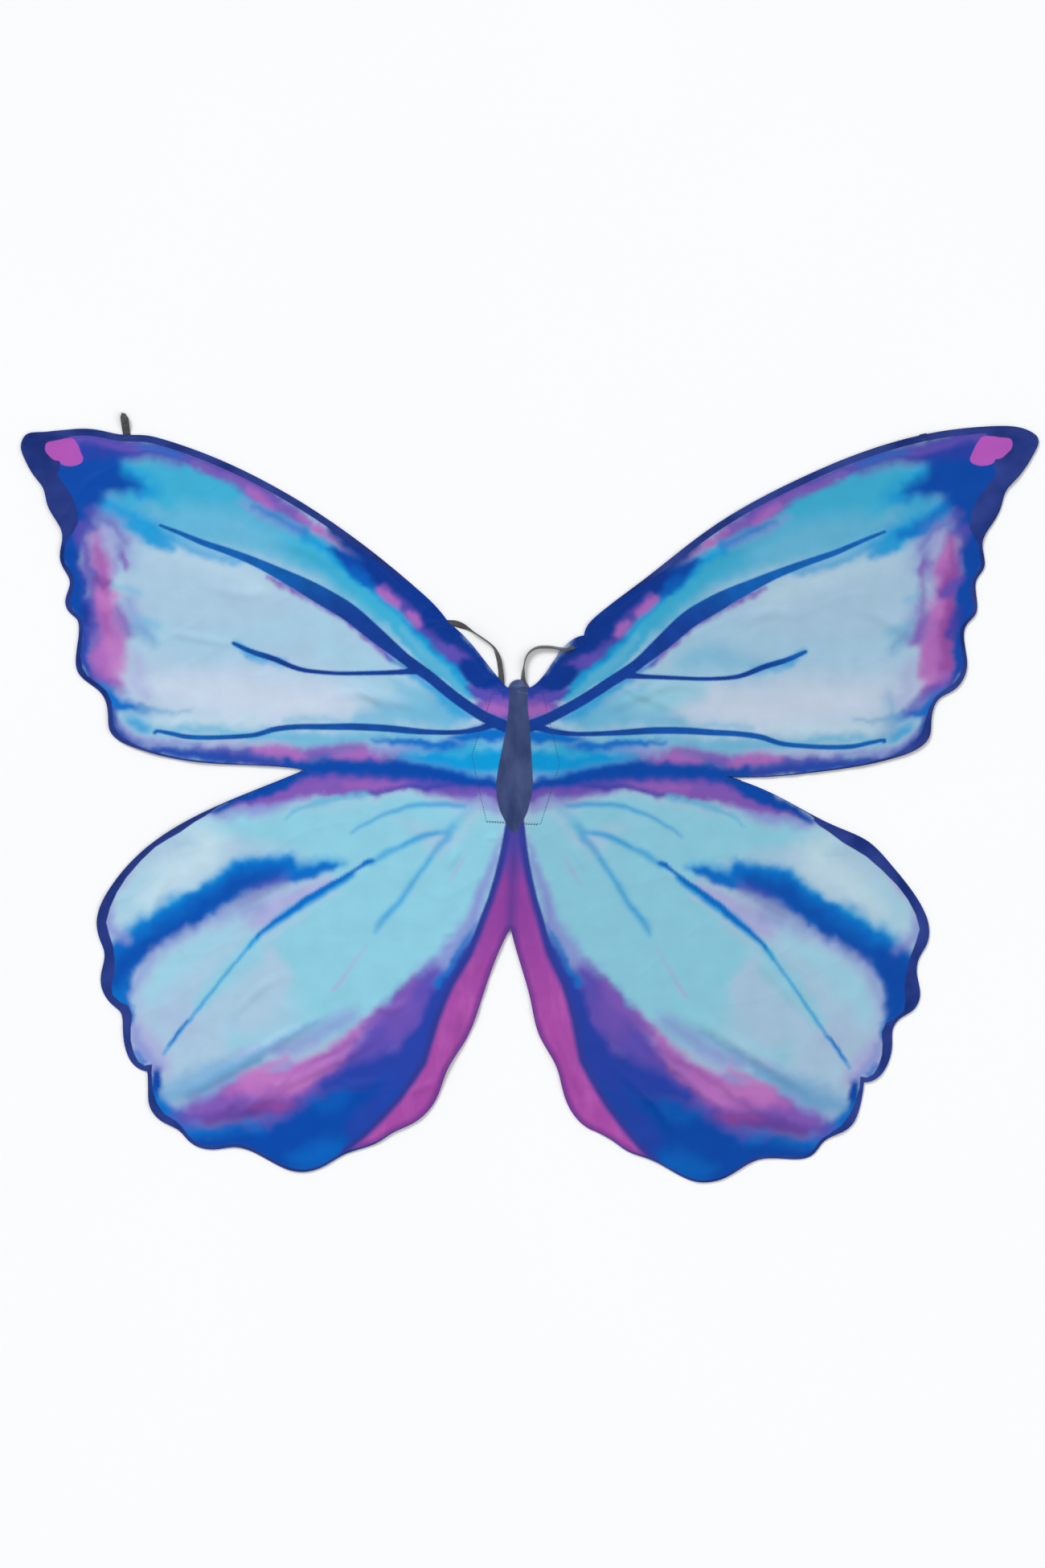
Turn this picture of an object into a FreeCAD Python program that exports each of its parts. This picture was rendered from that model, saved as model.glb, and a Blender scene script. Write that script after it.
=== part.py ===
"""Butterfly costume wings, laid out flat: two satin sides sewn together down the back,
turned hems all round, a reinforcing yoke, two elastic shoulder straps and two finger loops.

Frame: millimetres, +X to the wearer's right wing tip, +Y towards the head, +Z up from the floor.
The origin is on the back face of the yoke, on the centre seam. The printed face looks up.
"""

import FreeCAD, Part
import math
import os

Vector = FreeCAD.Vector
UP = Vector(0, 0, 1)

# Driving dimensions
HINGE_X = 98.0            # each wing lifts about a line this far from the centre
HINGE_GAP = 0.3           # cloth is parted this far on each side of that line
CLOTH_THICK = 0.8         # satin with its folds and puckers
HEM_THICK = 1.8           # turned hems, and everything else that lies under the cloth
WIDE_HEM = 11.0           # neck and leading edges
NARROW_HEM = 6.0          # scalloped margins
SEAM_ALLOWANCE = 8.0      # width of the cloth turned in at the centre seam
STITCH_INSET = 3.0        # yoke stitching, in from the yoke's edge
THREAD = 0.5              # width of a row of stitches
THREAD_RISE = 0.25        # height of the stitches on the cloth
STRAP_WIDTH = 8.0         # shoulder elastic
STRAP_THICK = 1.2
STRAP_LIFT = 0.4          # lower edge of the free strap above the floor
LOOP_WIDTH = 9.5          # finger elastic
LOOP_THICK = 0.6
TACK_SIZE = (7.0, 1.6)    # bar tack, across the elastic and along it
NOTCH_SLOPE = 0.2         # fall of the parting line beyond the notch between two wings
INSET_STEP = 4.0          # spacing of the points that carry an outline inwards

# Heights that follow from them
CLOTH_BASE = HEM_THICK
CLOTH_TOP = CLOTH_BASE + CLOTH_THICK
SEWN_END_TOP = 1.0        # elastic sewn flat under the cloth
REACH = 2000.0            # larger than the whole costume, for cutting it apart

# Centre seam, from the neck down to the point where the hindwings part
SEAM = [(2, 92), (0, 0), (-3, -97), (-8, -220)]

# Outlines of the two sides as they lie, run by run: a run is smooth, and runs meet at corners.
LEFT_EDGE = {
    "neck": [(-13, 92), (-47, 133), (-81, 170), (-89, 176)],
    "fore": [
        (-89, 176), (-110, 202), (-125, 216), (-459, 415), (-486, 421), (-518, 422), (-547, 428),
        (-625, 425), (-640, 422), (-647, 406), (-643, 393), (-630, 369), (-618, 353), (-612, 330),
        (-593, 293), (-595, 256), (-583, 230), (-589, 204), (-584, 191), (-574, 182), (-571, 169),
        (-571, 110), (-542, 85), (-533, 56), (-531, 37), (-498, 14), (-364, -8), (-276, -15),
    ],
    "hind": [
        (-276, -15), (-456, -97), (-531, -170), (-548, -215), (-544, -236), (-538, -254),
        (-543, -288), (-527, -322), (-517, -331), (-514, -348), (-496, -403), (-482, -408),
    ],
    "tail": [
        (-482, -408), (-481, -432), (-478, -456), (-465, -472), (-441, -485), (-427, -500),
        (-392, -510), (-371, -507), (-287, -539), (-261, -536), (-224, -516), (-182, -501),
        (-162, -488), (-138, -477), (-106, -445), (-92, -408), (-66, -365), (-49, -322),
        (-8, -220),
    ],
}
RIGHT_EDGE = {
    "neck": [(18, 92), (57, 139), (74, 155), (88, 160)],
    "fore": [
        (88, 160), (92, 172), (105, 186), (165, 232), (249, 297), (368, 364), (472, 406),
        (632, 433), (672, 425), (680, 417), (676, 401), (650, 363), (638, 349), (632, 330),
        (622, 309), (607, 280), (609, 248), (600, 234), (598, 188), (587, 175), (587, 121),
        (568, 88), (552, 79), (540, 47), (539, 32), (490, 0), (396, -17), (340, -23), (275, -24),
    ],
    "hind": [
        (275, -24), (340, -49), (417, -89), (458, -108), (488, -138), (534, -245), (525, -261),
        (522, -278), (526, -312), (518, -328), (500, -340), (491, -353), (490, -372),
        (464, -421), (453, -423),
    ],
    "tail": [
        (453, -423), (451, -440), (447, -458), (434, -482), (400, -501), (388, -516),
        (333, -522), (312, -525), (271, -548), (236, -553), (173, -523), (143, -512),
        (125, -499), (86, -477), (63, -442), (52, -402), (30, -362), (19, -318), (-2, -244),
        (-8, -220),
    ],
}
SIDES = {
    "left": {"edge": LEFT_EDGE, "sign": -1, "tip": (-646, 412)},
    "right": {"edge": RIGHT_EDGE, "sign": 1, "tip": (680, 417)},
}

# Yoke stitching, and the rounded tab above it that the two neck hems meet at
YOKE = [(-32, 84), (-59, 4), (-40, -82), (31, -86), (56, -8), (34, 85)]
HEAD_CENTRE = (2.6, 91.0)
HEAD_HALF_WIDTH = 12.6
HEAD_HEIGHT = 11.5
HEAD_TONGUE = 4.0         # it goes down behind the neck as far as the yoke

# Shoulder elastics: each sewn end lies flat under the cloth, and the strap between them stands
# on its edge.
STRAPS = {
    "left": {
        "outer_end": [(-94, 176.5), (-81, 176)],
        "free": [(-79.6, 175.8), (-66, 170.5), (-50, 160.5), (-34, 149), (-25.4, 135), (-21.7, 119),
                 (-20.6, 108.6)],
        "inner_end": [(-20.4, 107), (-20, 89)],
    },
    "right": {
        "outer_end": [(86, 154), (68, 142), (59, 143)],
        "free": [(57.4, 143.2), (47, 145), (30, 145), (18.6, 140), (11, 129.5), (8.5, 117),
                 (8.1, 107.6)],
        "inner_end": [(8.2, 106), (9.5, 89)],
    },
}

# Finger loops: where each leaves the leading edge, and the way its free end points
LOOPS = {
    "left": {"root": (-509.5, 422.6), "turn": 7.0},
    "right": {"root": (530.5, 421.4), "turn": 13.0},
}
SEWN_LOOP_BASE = 0.2      # underside of the left loop where it is sewn under the hem
# Side profile of the left loop, a teardrop: distance from the hem and height above the floor
TEARDROP = [
    (1.2, 0.4), (8, 0.2), (20, 0.2), (26.5, 1.6), (28.6, 3.9), (26.5, 6.4), (20.5, 7.3),
    (10, 5.2), (4, 2.7), (1.2, 2.0),
]
TEARDROP_HOLE = [
    (8, 1.5), (13, 0.85), (20, 0.85), (25.9, 2.1), (27.8, 3.9), (25.9, 5.7), (20.3, 6.6),
    (12, 4.9),
]
# The right loop lies pressed flat, folded back under the hem
FOLDED_REACH = 25.0       # how far it lies under the wing
FOLDED_PROUD = 2.2        # how far its fold shows beyond the hem
FOLDED_BASE = 0.05
FOLDED_TOP = 1.35
FOLDED_ROOM = 1.45        # height of the hollow left for it in the hem
FOLDED_CLEARANCE = 0.5    # room beside it in that hollow
FOLDED_SEAT = (-0.5, 0.7)  # where it is sewn to the cloth, either side of the edge


def at(point, height=0.0):
    return Vector(point[0], point[1], height)


def smooth(points):
    curve = Part.BSplineCurve()
    curve.interpolate([at(p) for p in points])
    return curve


def polygon(points):
    """A closed outline with straight sides."""
    corners = [at(p) for p in points]
    return Part.makePolygon(corners + corners[:1])


def plate(wire, low, high):
    """A flat piece with the outline of a closed wire, between two heights."""
    face = Part.Face(wire)
    face.translate(UP * low)
    return face.extrude(UP * (high - low))


def half_space(low_x, high_x):
    """A block that keeps what lies between two values of x."""
    return Part.makeBox(high_x - low_x, 2 * REACH, 2 * REACH, Vector(low_x, -REACH, -REACH))


def between_hinges(shape):
    return shape.common(half_space(HINGE_GAP - HINGE_X, HINGE_X - HINGE_GAP))


def beyond_hinge(shape, sign):
    inner = sign * (HINGE_X + HINGE_GAP)
    return shape.common(half_space(min(inner, sign * REACH), max(inner, sign * REACH)))


def part_of(curve, start, end):
    piece = curve.copy()
    piece.segment(start, end)
    return piece


def inset_curve(curve, distance, sign):
    """The curve moved sideways, towards the cloth."""
    points = []
    steps = max(4, round(curve.length() / INSET_STEP))
    for i in range(steps + 1):
        u = curve.parameterAtDistance(curve.length() * i / steps, curve.FirstParameter)
        along = curve.tangent(u)[0]
        points.append(curve.value(u) + Vector(-along.y, along.x, 0) * distance * -sign)
    moved = Part.BSplineCurve()
    moved.interpolate(points)
    return moved


def strip(curve, width, sign):
    """A band of hem inside one run of the outline, from the floor to the cloth."""
    inner = inset_curve(curve, width, sign)
    first_end = Part.LineSegment(curve.StartPoint, inner.StartPoint).toShape()
    last_end = Part.LineSegment(curve.EndPoint, inner.EndPoint).toShape()
    wire = Part.Wire(Part.__sortEdges__([curve.toShape(), inner.toShape(), first_end, last_end]))
    return plate(wire, 0, HEM_THICK)


def side_wire(edge):
    """The whole outline of one side, closed along the centre seam."""
    seam_top = Part.LineSegment(at(SEAM[0]), at(edge["neck"][0]))
    edges = [smooth(SEAM).toShape(), seam_top.toShape()]
    for run in edge.values():
        edges.append(smooth(run).toShape())
    return Part.Wire(Part.__sortEdges__(edges))


def joined_strips(strips, corner, width, room):
    """Neighbouring bands of hem made one, with the corner between them filled."""
    filler = Part.makeCylinder(width, HEM_THICK, at(corner), UP).common(room)
    return strips[0].multiFuse(strips[1:] + [filler]).removeSplitter()


def hindwing_room(notch, sign):
    """The space below the line that parts a forewing from its hindwing."""
    outer_x = notch[0] + sign * REACH
    corners = [
        (0, notch[1]),
        notch,
        (outer_x, notch[1] - NOTCH_SLOPE * REACH),
        (outer_x, -REACH),
        (0, -REACH),
    ]
    return plate(polygon(corners), 0, CLOTH_TOP)


def flat_ribbon(points, width, low, high):
    """A flat band along a broken line, rounded where it turns."""
    whole = None
    for start, end in zip(points, points[1:]):
        along = at(end) - at(start)
        run = Part.makeBox(along.Length, width, high - low, Vector(0, -width / 2, low))
        run.rotate(Vector(), UP, math.degrees(math.atan2(along.y, along.x)))
        run.translate(at(start))
        whole = run if whole is None else whole.fuse(run)
    for corner in points[1:-1]:
        whole = whole.fuse(Part.makeCylinder(width / 2, high - low, at(corner, low), UP))
    return whole.removeSplitter()


def standing_ribbon(points):
    """The free shoulder strap: a band on its edge along a smooth line."""
    middle = smooth(points)
    near = inset_curve(middle, STRAP_THICK / 2, 1)
    far = inset_curve(middle, STRAP_THICK / 2, -1)
    ends = [
        Part.LineSegment(near.StartPoint, far.StartPoint).toShape(),
        Part.LineSegment(near.EndPoint, far.EndPoint).toShape(),
    ]
    wire = Part.Wire(Part.__sortEdges__([near.toShape(), far.toShape()] + ends))
    return plate(wire, STRAP_LIFT, STRAP_LIFT + STRAP_WIDTH)


def stand_up(shape, loop):
    """Turns a side profile drawn flat (distance, height) into its place at a loop's root."""
    shape.rotate(Vector(), Vector(1, 0, 0), 90)
    shape.translate(Vector(0, LOOP_WIDTH / 2, 0))
    shape.rotate(Vector(), UP, 90 + loop["turn"])
    shape.translate(at(loop["root"]))
    return shape


def open_loop(loop):
    """A finger loop that springs open beyond the edge."""
    outer = smooth(TEARDROP)
    root = Part.LineSegment(outer.EndPoint, outer.StartPoint)
    hole = Part.BSplineCurve()
    hole.interpolate(Points=[at(p) for p in TEARDROP_HOLE], PeriodicFlag=True)
    band = Part.Face(Part.Wire([outer.toShape(), root.toShape()]))
    band = band.cut(Part.Face(Part.Wire(hole.toShape())))
    return stand_up(band.extrude(UP * LOOP_WIDTH), loop)


def racetrack(start, end, low, high):
    """Outline of two flat layers joined by a round fold at each end."""
    radius = (high - low) / 2
    middle = (high + low) / 2
    top = Part.LineSegment(Vector(start + radius, high), Vector(end - radius, high))
    bottom = Part.LineSegment(Vector(end - radius, low), Vector(start + radius, low))
    far = Part.Arc(top.EndPoint, Vector(end, middle), bottom.StartPoint)
    near = Part.Arc(bottom.EndPoint, Vector(start, middle), top.StartPoint)
    return Part.Wire([edge.toShape() for edge in (top, far, bottom, near)])


def folded_loop(loop):
    """A finger loop pressed flat and folded back under the hem."""
    outer = Part.Face(racetrack(-FOLDED_REACH, FOLDED_PROUD, FOLDED_BASE, FOLDED_TOP))
    hole = Part.Face(racetrack(
        LOOP_THICK - FOLDED_REACH,
        -LOOP_THICK,
        FOLDED_BASE + LOOP_THICK,
        FOLDED_TOP - LOOP_THICK,
    ))
    return stand_up(outer.cut(hole).extrude(UP * LOOP_WIDTH), loop)


def loop_block(loop, start, end, low, high, margin=0.0):
    """A plain block across a loop's root: where it is sewn, or the room it needs."""
    width = LOOP_WIDTH + 2 * margin
    block = Part.makeBox(end - start, high - low, width, Vector(start, low, -margin))
    return stand_up(block, loop)


def tack(centre, angle):
    """A dense bar of stitches that holds an elastic."""
    across, along = TACK_SIZE
    bar = Part.makeBox(along, across, THREAD_RISE, Vector(-along / 2, -across / 2, CLOTH_TOP))
    bar.rotate(Vector(), UP, angle)
    bar.translate(at(centre))
    return bar


def make_back(nodes):
    """The pieces down the middle that belong to neither side."""
    stitch_line = polygon(YOKE)
    patch = plate(stitch_line.makeOffset2D(STITCH_INSET), 0, HEM_THICK)
    outer_thread = plate(stitch_line.makeOffset2D(THREAD / 2), CLOTH_TOP, CLOTH_TOP + THREAD_RISE)
    inner_thread = plate(stitch_line.makeOffset2D(-THREAD / 2), CLOTH_TOP, CLOTH_TOP + THREAD_RISE)
    nodes["yoke_patch"] = patch
    nodes["yoke_stitching"] = outer_thread.cut(inner_thread)
    seam_line = [(x + dx, y) for dx in (-SEAM_ALLOWANCE / 2, SEAM_ALLOWANCE / 2) for x, y in SEAM[2:]]
    corners = [seam_line[0], seam_line[1], seam_line[3], seam_line[2]]
    nodes["centre_seam"] = plate(polygon(corners), 0, HEM_THICK)


def make_head_tab(nodes):
    """A small rounded tab of doubled cloth between the neck hems."""
    ellipse = Part.Ellipse(at(HEAD_CENTRE), HEAD_HALF_WIDTH, HEAD_HEIGHT).toShape()
    dome = plate(Part.Wire(ellipse), SEWN_END_TOP, CLOTH_TOP)
    above_neck = Part.makeBox(REACH, REACH, REACH, Vector(-REACH / 2, SEAM[0][1], 0))
    left, right = (HEAD_CENTRE[0] + s * HEAD_HALF_WIDTH for s in (-1, 1))
    tongue = Part.makeBox(
        right - left, HEAD_TONGUE, HEM_THICK - SEWN_END_TOP,
        Vector(left, SEAM[0][1] - HEAD_TONGUE, SEWN_END_TOP),
    )
    nodes["head_tab"] = dome.common(above_neck).fuse(tongue).removeSplitter()


def make_side(name, nodes):
    """The cloth and hems of one side, parted at the hinge line."""
    side = SIDES[name]
    edge = side["edge"]
    sign = side["sign"]
    outline = side_wire(edge)
    cloth = plate(outline, CLOTH_BASE, CLOTH_TOP)
    under = plate(outline, 0, HEM_THICK)
    nodes[name + "_back_panel"] = between_hinges(cloth)
    wing = beyond_hinge(cloth, sign)
    below = hindwing_room(edge["hind"][0], sign)
    nodes[name + "_forewing"] = wing.cut(below)
    nodes[name + "_hindwing"] = wing.common(below)

    fore = smooth(edge["fore"])
    tip = fore.parameter(at(side["tip"]))
    leading = strip(part_of(fore, fore.FirstParameter, tip), WIDE_HEM, sign)
    outer = strip(part_of(fore, tip, fore.LastParameter), NARROW_HEM, sign).cut(leading)
    neck = strip(smooth(edge["neck"]), WIDE_HEM, sign)
    hind = strip(smooth(edge["hind"]), NARROW_HEM, sign)
    tail = strip(smooth(edge["tail"]), NARROW_HEM, sign)
    upper = joined_strips([neck, leading], edge["fore"][0], WIDE_HEM, under)
    lower = joined_strips([hind, tail], edge["tail"][0], NARROW_HEM, under)
    middle = [nodes["head_tab"], nodes["yoke_patch"]]
    nodes[name + "_neck_hem"] = between_hinges(upper).cut(middle)
    nodes[name + "_leading_hem"] = beyond_hinge(upper, sign)
    nodes[name + "_outer_hem"] = outer
    nodes[name + "_hind_hem"] = beyond_hinge(lower, sign)
    nodes[name + "_tail_hem"] = between_hinges(lower).cut(nodes["centre_seam"])


def make_strap(name, nodes):
    """One shoulder elastic, its two sewn ends and their bar tacks."""
    strap = STRAPS[name]
    nodes[name + "_shoulder_strap"] = standing_ribbon(strap["free"])
    for end in ("outer_end", "inner_end"):
        points = strap[end]
        piece = flat_ribbon(points, STRAP_WIDTH, 0, SEWN_END_TOP)
        nodes[name + "_strap_" + end] = piece
        nodes[name + "_neck_hem"] = nodes[name + "_neck_hem"].cut(piece)
    for label, start, towards in (
        ("outer", strap["outer_end"][0], strap["outer_end"][1]),
        ("inner", strap["inner_end"][1], strap["inner_end"][0]),
    ):
        along = (at(towards) - at(start)).normalize()
        centre = at(start) + along * TACK_SIZE[0] / 2
        angle = math.degrees(math.atan2(along.y, along.x))
        nodes[name + "_" + label + "_tack"] = tack(centre, angle)


def make_loops(nodes):
    """The two finger loops, with room for them in the leading hems."""
    left = LOOPS["left"]
    nodes["left_finger_loop"] = open_loop(left)
    nodes["left_loop_end"] = loop_block(left, -WIDE_HEM, 0, SEWN_LOOP_BASE, HEM_THICK)
    nodes["left_leading_hem"] = nodes["left_leading_hem"].cut(nodes["left_loop_end"])
    right = LOOPS["right"]
    nodes["right_finger_loop"] = folded_loop(right)
    nodes["right_loop_end"] = loop_block(right, *FOLDED_SEAT, CLOTH_BASE, CLOTH_TOP)
    nodes["right_forewing"] = nodes["right_forewing"].cut(nodes["right_loop_end"])
    room = loop_block(right, -2 * WIDE_HEM, 2 * WIDE_HEM, 0, FOLDED_ROOM, FOLDED_CLEARANCE)
    nodes["right_leading_hem"] = nodes["right_leading_hem"].cut(room)
    for name, loop in LOOPS.items():
        angle = 90 + loop["turn"]
        inwards = Vector(1, 0, 0)
        inwards = FreeCAD.Rotation(UP, angle).multVec(inwards) * -WIDE_HEM / 2
        nodes[name + "_loop_tack"] = tack(at(loop["root"]) + inwards, angle)


def main():
    os.makedirs("parts", exist_ok=True)
    nodes = {}
    make_back(nodes)
    make_head_tab(nodes)
    for name in SIDES:
        make_side(name, nodes)
        make_strap(name, nodes)
    make_loops(nodes)
    for name, shape in nodes.items():
        shape.exportStep("parts/" + name + ".step")
        box = shape.BoundBox
        print(name, len(shape.Solids), shape.isValid(), round(shape.Volume, 1),
              [round(v, 1) for v in (box.XMin, box.YMin, box.ZMin, box.XMax, box.YMax, box.ZMax)])


main()
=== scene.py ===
"""Looks of the butterfly costume wings: printed satin, turned hems, stitches and elastics.

Outlines, paths and sizes are in millimetres in the model's frame, and become metres when a mesh
is made. The print is written once, for the left wing, as (outwards, up): outwards is the distance
from the centre line, up is y. The right wing's cloth is laid onto the same print by landmarks.
"""

import math

import bpy
import numpy as np
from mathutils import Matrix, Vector
from mathutils.geometry import delaunay_2d_cdt


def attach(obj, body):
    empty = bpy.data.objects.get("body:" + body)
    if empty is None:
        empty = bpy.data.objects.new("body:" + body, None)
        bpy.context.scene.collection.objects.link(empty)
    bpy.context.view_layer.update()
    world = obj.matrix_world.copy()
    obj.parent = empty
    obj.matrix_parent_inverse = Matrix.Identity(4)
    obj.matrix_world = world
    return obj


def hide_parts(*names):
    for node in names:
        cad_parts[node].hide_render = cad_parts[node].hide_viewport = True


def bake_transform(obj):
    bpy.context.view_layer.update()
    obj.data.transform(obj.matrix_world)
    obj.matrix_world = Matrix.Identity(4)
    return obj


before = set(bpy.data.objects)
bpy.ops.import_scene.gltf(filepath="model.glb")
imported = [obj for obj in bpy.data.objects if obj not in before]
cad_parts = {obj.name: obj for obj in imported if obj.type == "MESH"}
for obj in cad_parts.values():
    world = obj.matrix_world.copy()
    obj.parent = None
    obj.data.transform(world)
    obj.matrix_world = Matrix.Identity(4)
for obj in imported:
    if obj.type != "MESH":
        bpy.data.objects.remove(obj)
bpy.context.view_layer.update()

M = 0.001                  # metres in a millimetre
SIDES = ("left", "right")
SIGN = {"left": -1, "right": 1}

# Cloth
SPACING = 3.1              # between the points of the cloth's mesh
RIM_CLEARANCE = 0.62       # of the spacing, kept free between the outline and the inner points
CLOTH_THICK = 0.35
REST_HEIGHT = 2.2          # middle of the cloth above the floor, over the hems
LOWEST = 1.75              # the middle of the cloth dips no lower than this
WIDE_HEM = 10.6            # stitch line inside the neck and leading edges
NARROW_HEM = 4.6           # stitch line inside the scalloped margins
HEMS = {"neck": WIDE_HEM, "leading": WIDE_HEM, "outer": NARROW_HEM, "hind": NARROW_HEM,
        "tail": NARROW_HEM}
HEM_MARGIN = 0.9           # a hem goes on this far beyond its stitches
HEM_FLOOR = 0.02           # the lowest point of a hem

# Stitches: each is a bead, given as (share of its length, share of its radius, height)
STITCH = 2.5               # length seen on top
STITCH_GAP = 0.9
THREAD_RADIUS = 0.26
BEAD = [(0, 0.15, -0.35), (0.12, 0.75, -0.1), (0.35, 1.0, 0.12), (0.65, 1.0, 0.12),
        (0.88, 0.75, -0.1), (1.0, 0.15, -0.35)]
THREAD_SIDES = 6

# How the outlines are found and joined
LEVEL = 0.02               # a node's upper face takes in what is within this of its top
PARTING = 0.8              # how far beyond an edge its neighbour is looked for
LARGEST_GAP = 8.0          # between two runs of edge that are joined
CORNER = math.radians(32)  # an outline keeps its corners that turn more than this
CORNER_STEPS = 4           # points on either side over which a turn is measured
RIM_REACH = 90.0           # reach of the distances from the cloth's edge
YOKE_REACH = 60.0          # and from the six-sided row
RIM_BLOCK = 12             # edge pieces measured at a time
FAR = 40.0                 # reach of the print's distances
BEYOND = 900               # a place outside the cloth, where inked margins are closed
PLATE_STIFFNESS = 30.0     # how little the print is bent to meet its landmarks

# Shoulder elastics: (x, y, roll) along the middle, from the outer sewn end to the inner one
STRAP_WIDTH = 8.0
STRAP_THICK = 1.1
STRAP_FLOOR = 0.15         # clearance under the elastic
STRAPS = {
    "left": [
        (-94, 176.5, 0), (-87, 176.4, 0), (-80, 175.8, 4), (-73, 173.4, 22), (-66, 170.2, 55),
        (-58, 165.4, 80), (-50, 160.2, 86), (-42, 155, 86), (-34.5, 149, 82), (-29.2, 143, 70),
        (-25.5, 135, 52), (-23, 127, 42), (-21.6, 118, 38), (-20.6, 109, 34), (-20.2, 100, 18),
        (-20, 89, 0),
    ],
    "right": [
        (86, 154, 0), (77, 148, 8), (68, 143.6, 40), (61, 142.6, 62), (54, 143.4, 66),
        (46, 144.8, 66), (37, 145.2, 64), (29, 144.8, 66), (23.4, 143.2, 70), (18.4, 140, 74),
        (14, 135.4, 78), (11, 129, 82), (9.3, 121, 84), (8.3, 113, 66), (8.1, 105, 50),
        (9, 96, 20), (9.5, 89, 0),
    ],
}
# The two points of each list whose chord is worked out when the side is built; nothing lifts or turns the
# elastic
STRAP_CHORD = {"left": (2, 13), "right": (3, 14)}

# Finger loops: root and turn, side profiles as (out from the hem, above the floor)
LOOP_WIDTH = 9.6
LOOP_THICK = 0.6
LOOPS = {"left": ((-509.5, 422.6), 7.0), "right": ((530.5, 421.4), 13.0)}
LOOP_PROFILES = {
    "left": [(0.0, 0.8), (6, 0.5), (13, 0.45), (20, 0.6), (25.5, 1.6), (27.6, 3.6), (25.6, 5.8),
             (20.3, 6.7), (10.5, 4.6), (4, 2.0), (0.0, 1.4)],
    "right": [(0.8, 0.35), (-8, 0.35), (-16, 0.35), (-23, 0.35), (-24.5, 0.7), (-23, 1.05),
              (-16, 1.05), (-8, 1.05), (0.8, 1.05), (1.8, 0.85), (1.9, 0.6), (1.5, 0.4)],
}
LOOP_SLANT = {"left": 1.2, "right": 0.0}        # how much farther one edge of the tip reaches
LOOP_NARROWING = {"left": 0.45, "right": 0.0}   # share of the width lost at the rounded tip
LOOP_CREASE = {"left": 0.9, "right": 0.0}       # depth of the crease along the raised part
LOOP_FLOOR = 0.03
SEWN_LOOP_HEIGHT = 0.7
SEWN_LOOP_REACH = (-9.5, 1.0)

# Weave of the elastics, and the bar tacks that hold them
EDGE_SOFTNESS = 0.35       # share of its thickness that a band loses at its edges
RIB_PITCH = 1.0
PICK_PITCH = 0.7
TACK_TURNS = 18
TACK_THREAD = 0.3
TACK_RISE = 0.12

# Head tab
TAB_X = 2.6
TAB_HALF = 13.3
TAB_BOTTOM = 82.4
TAB_SPRING = 90.5
TAB_TOP = 102.6
TAB_ROUNDING = 1.5         # of its lower corners
TAB_HEIGHT = 3.1           # of the stitches across it
TAB_THREAD = 0.2

# Six-sided row of stitches around the body, and the patch that it holds
YOKE = [(-32, 84), (-59, 4), (-40, -82), (31, -86), (56, -8), (34, 85)]
YOKE_MARGIN = 2.9          # the patch goes on this far beyond its stitches
YOKE_THREAD = 0.5
YOKE_ROWS = 1.2            # between the two rows of stitches along its lower side

# Waves in the cloth as it lies: height, size, stretch of the plane, seed
WAVES = [(0.9, 170, (1, 1), 61), (0.32, 48, (1, 1), 71), (0.5, 26, (0.35, 1.0), 83)]
# Long slanting wrinkles
WRINKLE_RISE = 0.55
WRINKLE_SIZE = 70
WRINKLE_SEED = 107
WRINKLE_FRAME = [[0.9, -0.5], [0.5, 0.9]]
WRINKLE_STRETCH = (0.45, 1.0)
WRINKLE_SHARPNESS = 8
# Grooves along the seams and hems: depth, and half width
YOKE_DENT = (0.5, 1.6)
SEAM_DENT = (0.7, 1.5)
SEAM_DENT_ON_BODY = 0.15
HEM_DENT = (0.35, 0.9)
# Small waves beside them: height, size, seed, how far they reach
YOKE_PUCKER = (0.25, 7, 97, 5)
HEM_PUCKER = (0.22, 6, 99, 4)
RIM_PUCKER = (1.3, 30, 91, 14)
HEM_RISE = 0.35            # the cloth lies this much higher where it is doubled
HEM_STEP = 1.5             # and rises over this distance
# Line as (outwards, up) between the leading edges' hems and the scalloped margins' hems
LEADING_LINE = [(0, 40), (100, 100), (560, 405), (640, 425)]

# Gathers at the strap anchors: place, reach, number of folds, height
GATHERS = [
    ((-88, 177), 26, 16, 2.2),
    ((88, 158), 30, 16, 2.6),
    ((-20, 92), 14, 12, 0.9),
    ((10, 92), 14, 12, 0.9),
    ((0, 88), 40, 18, 0.7),
]

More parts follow.
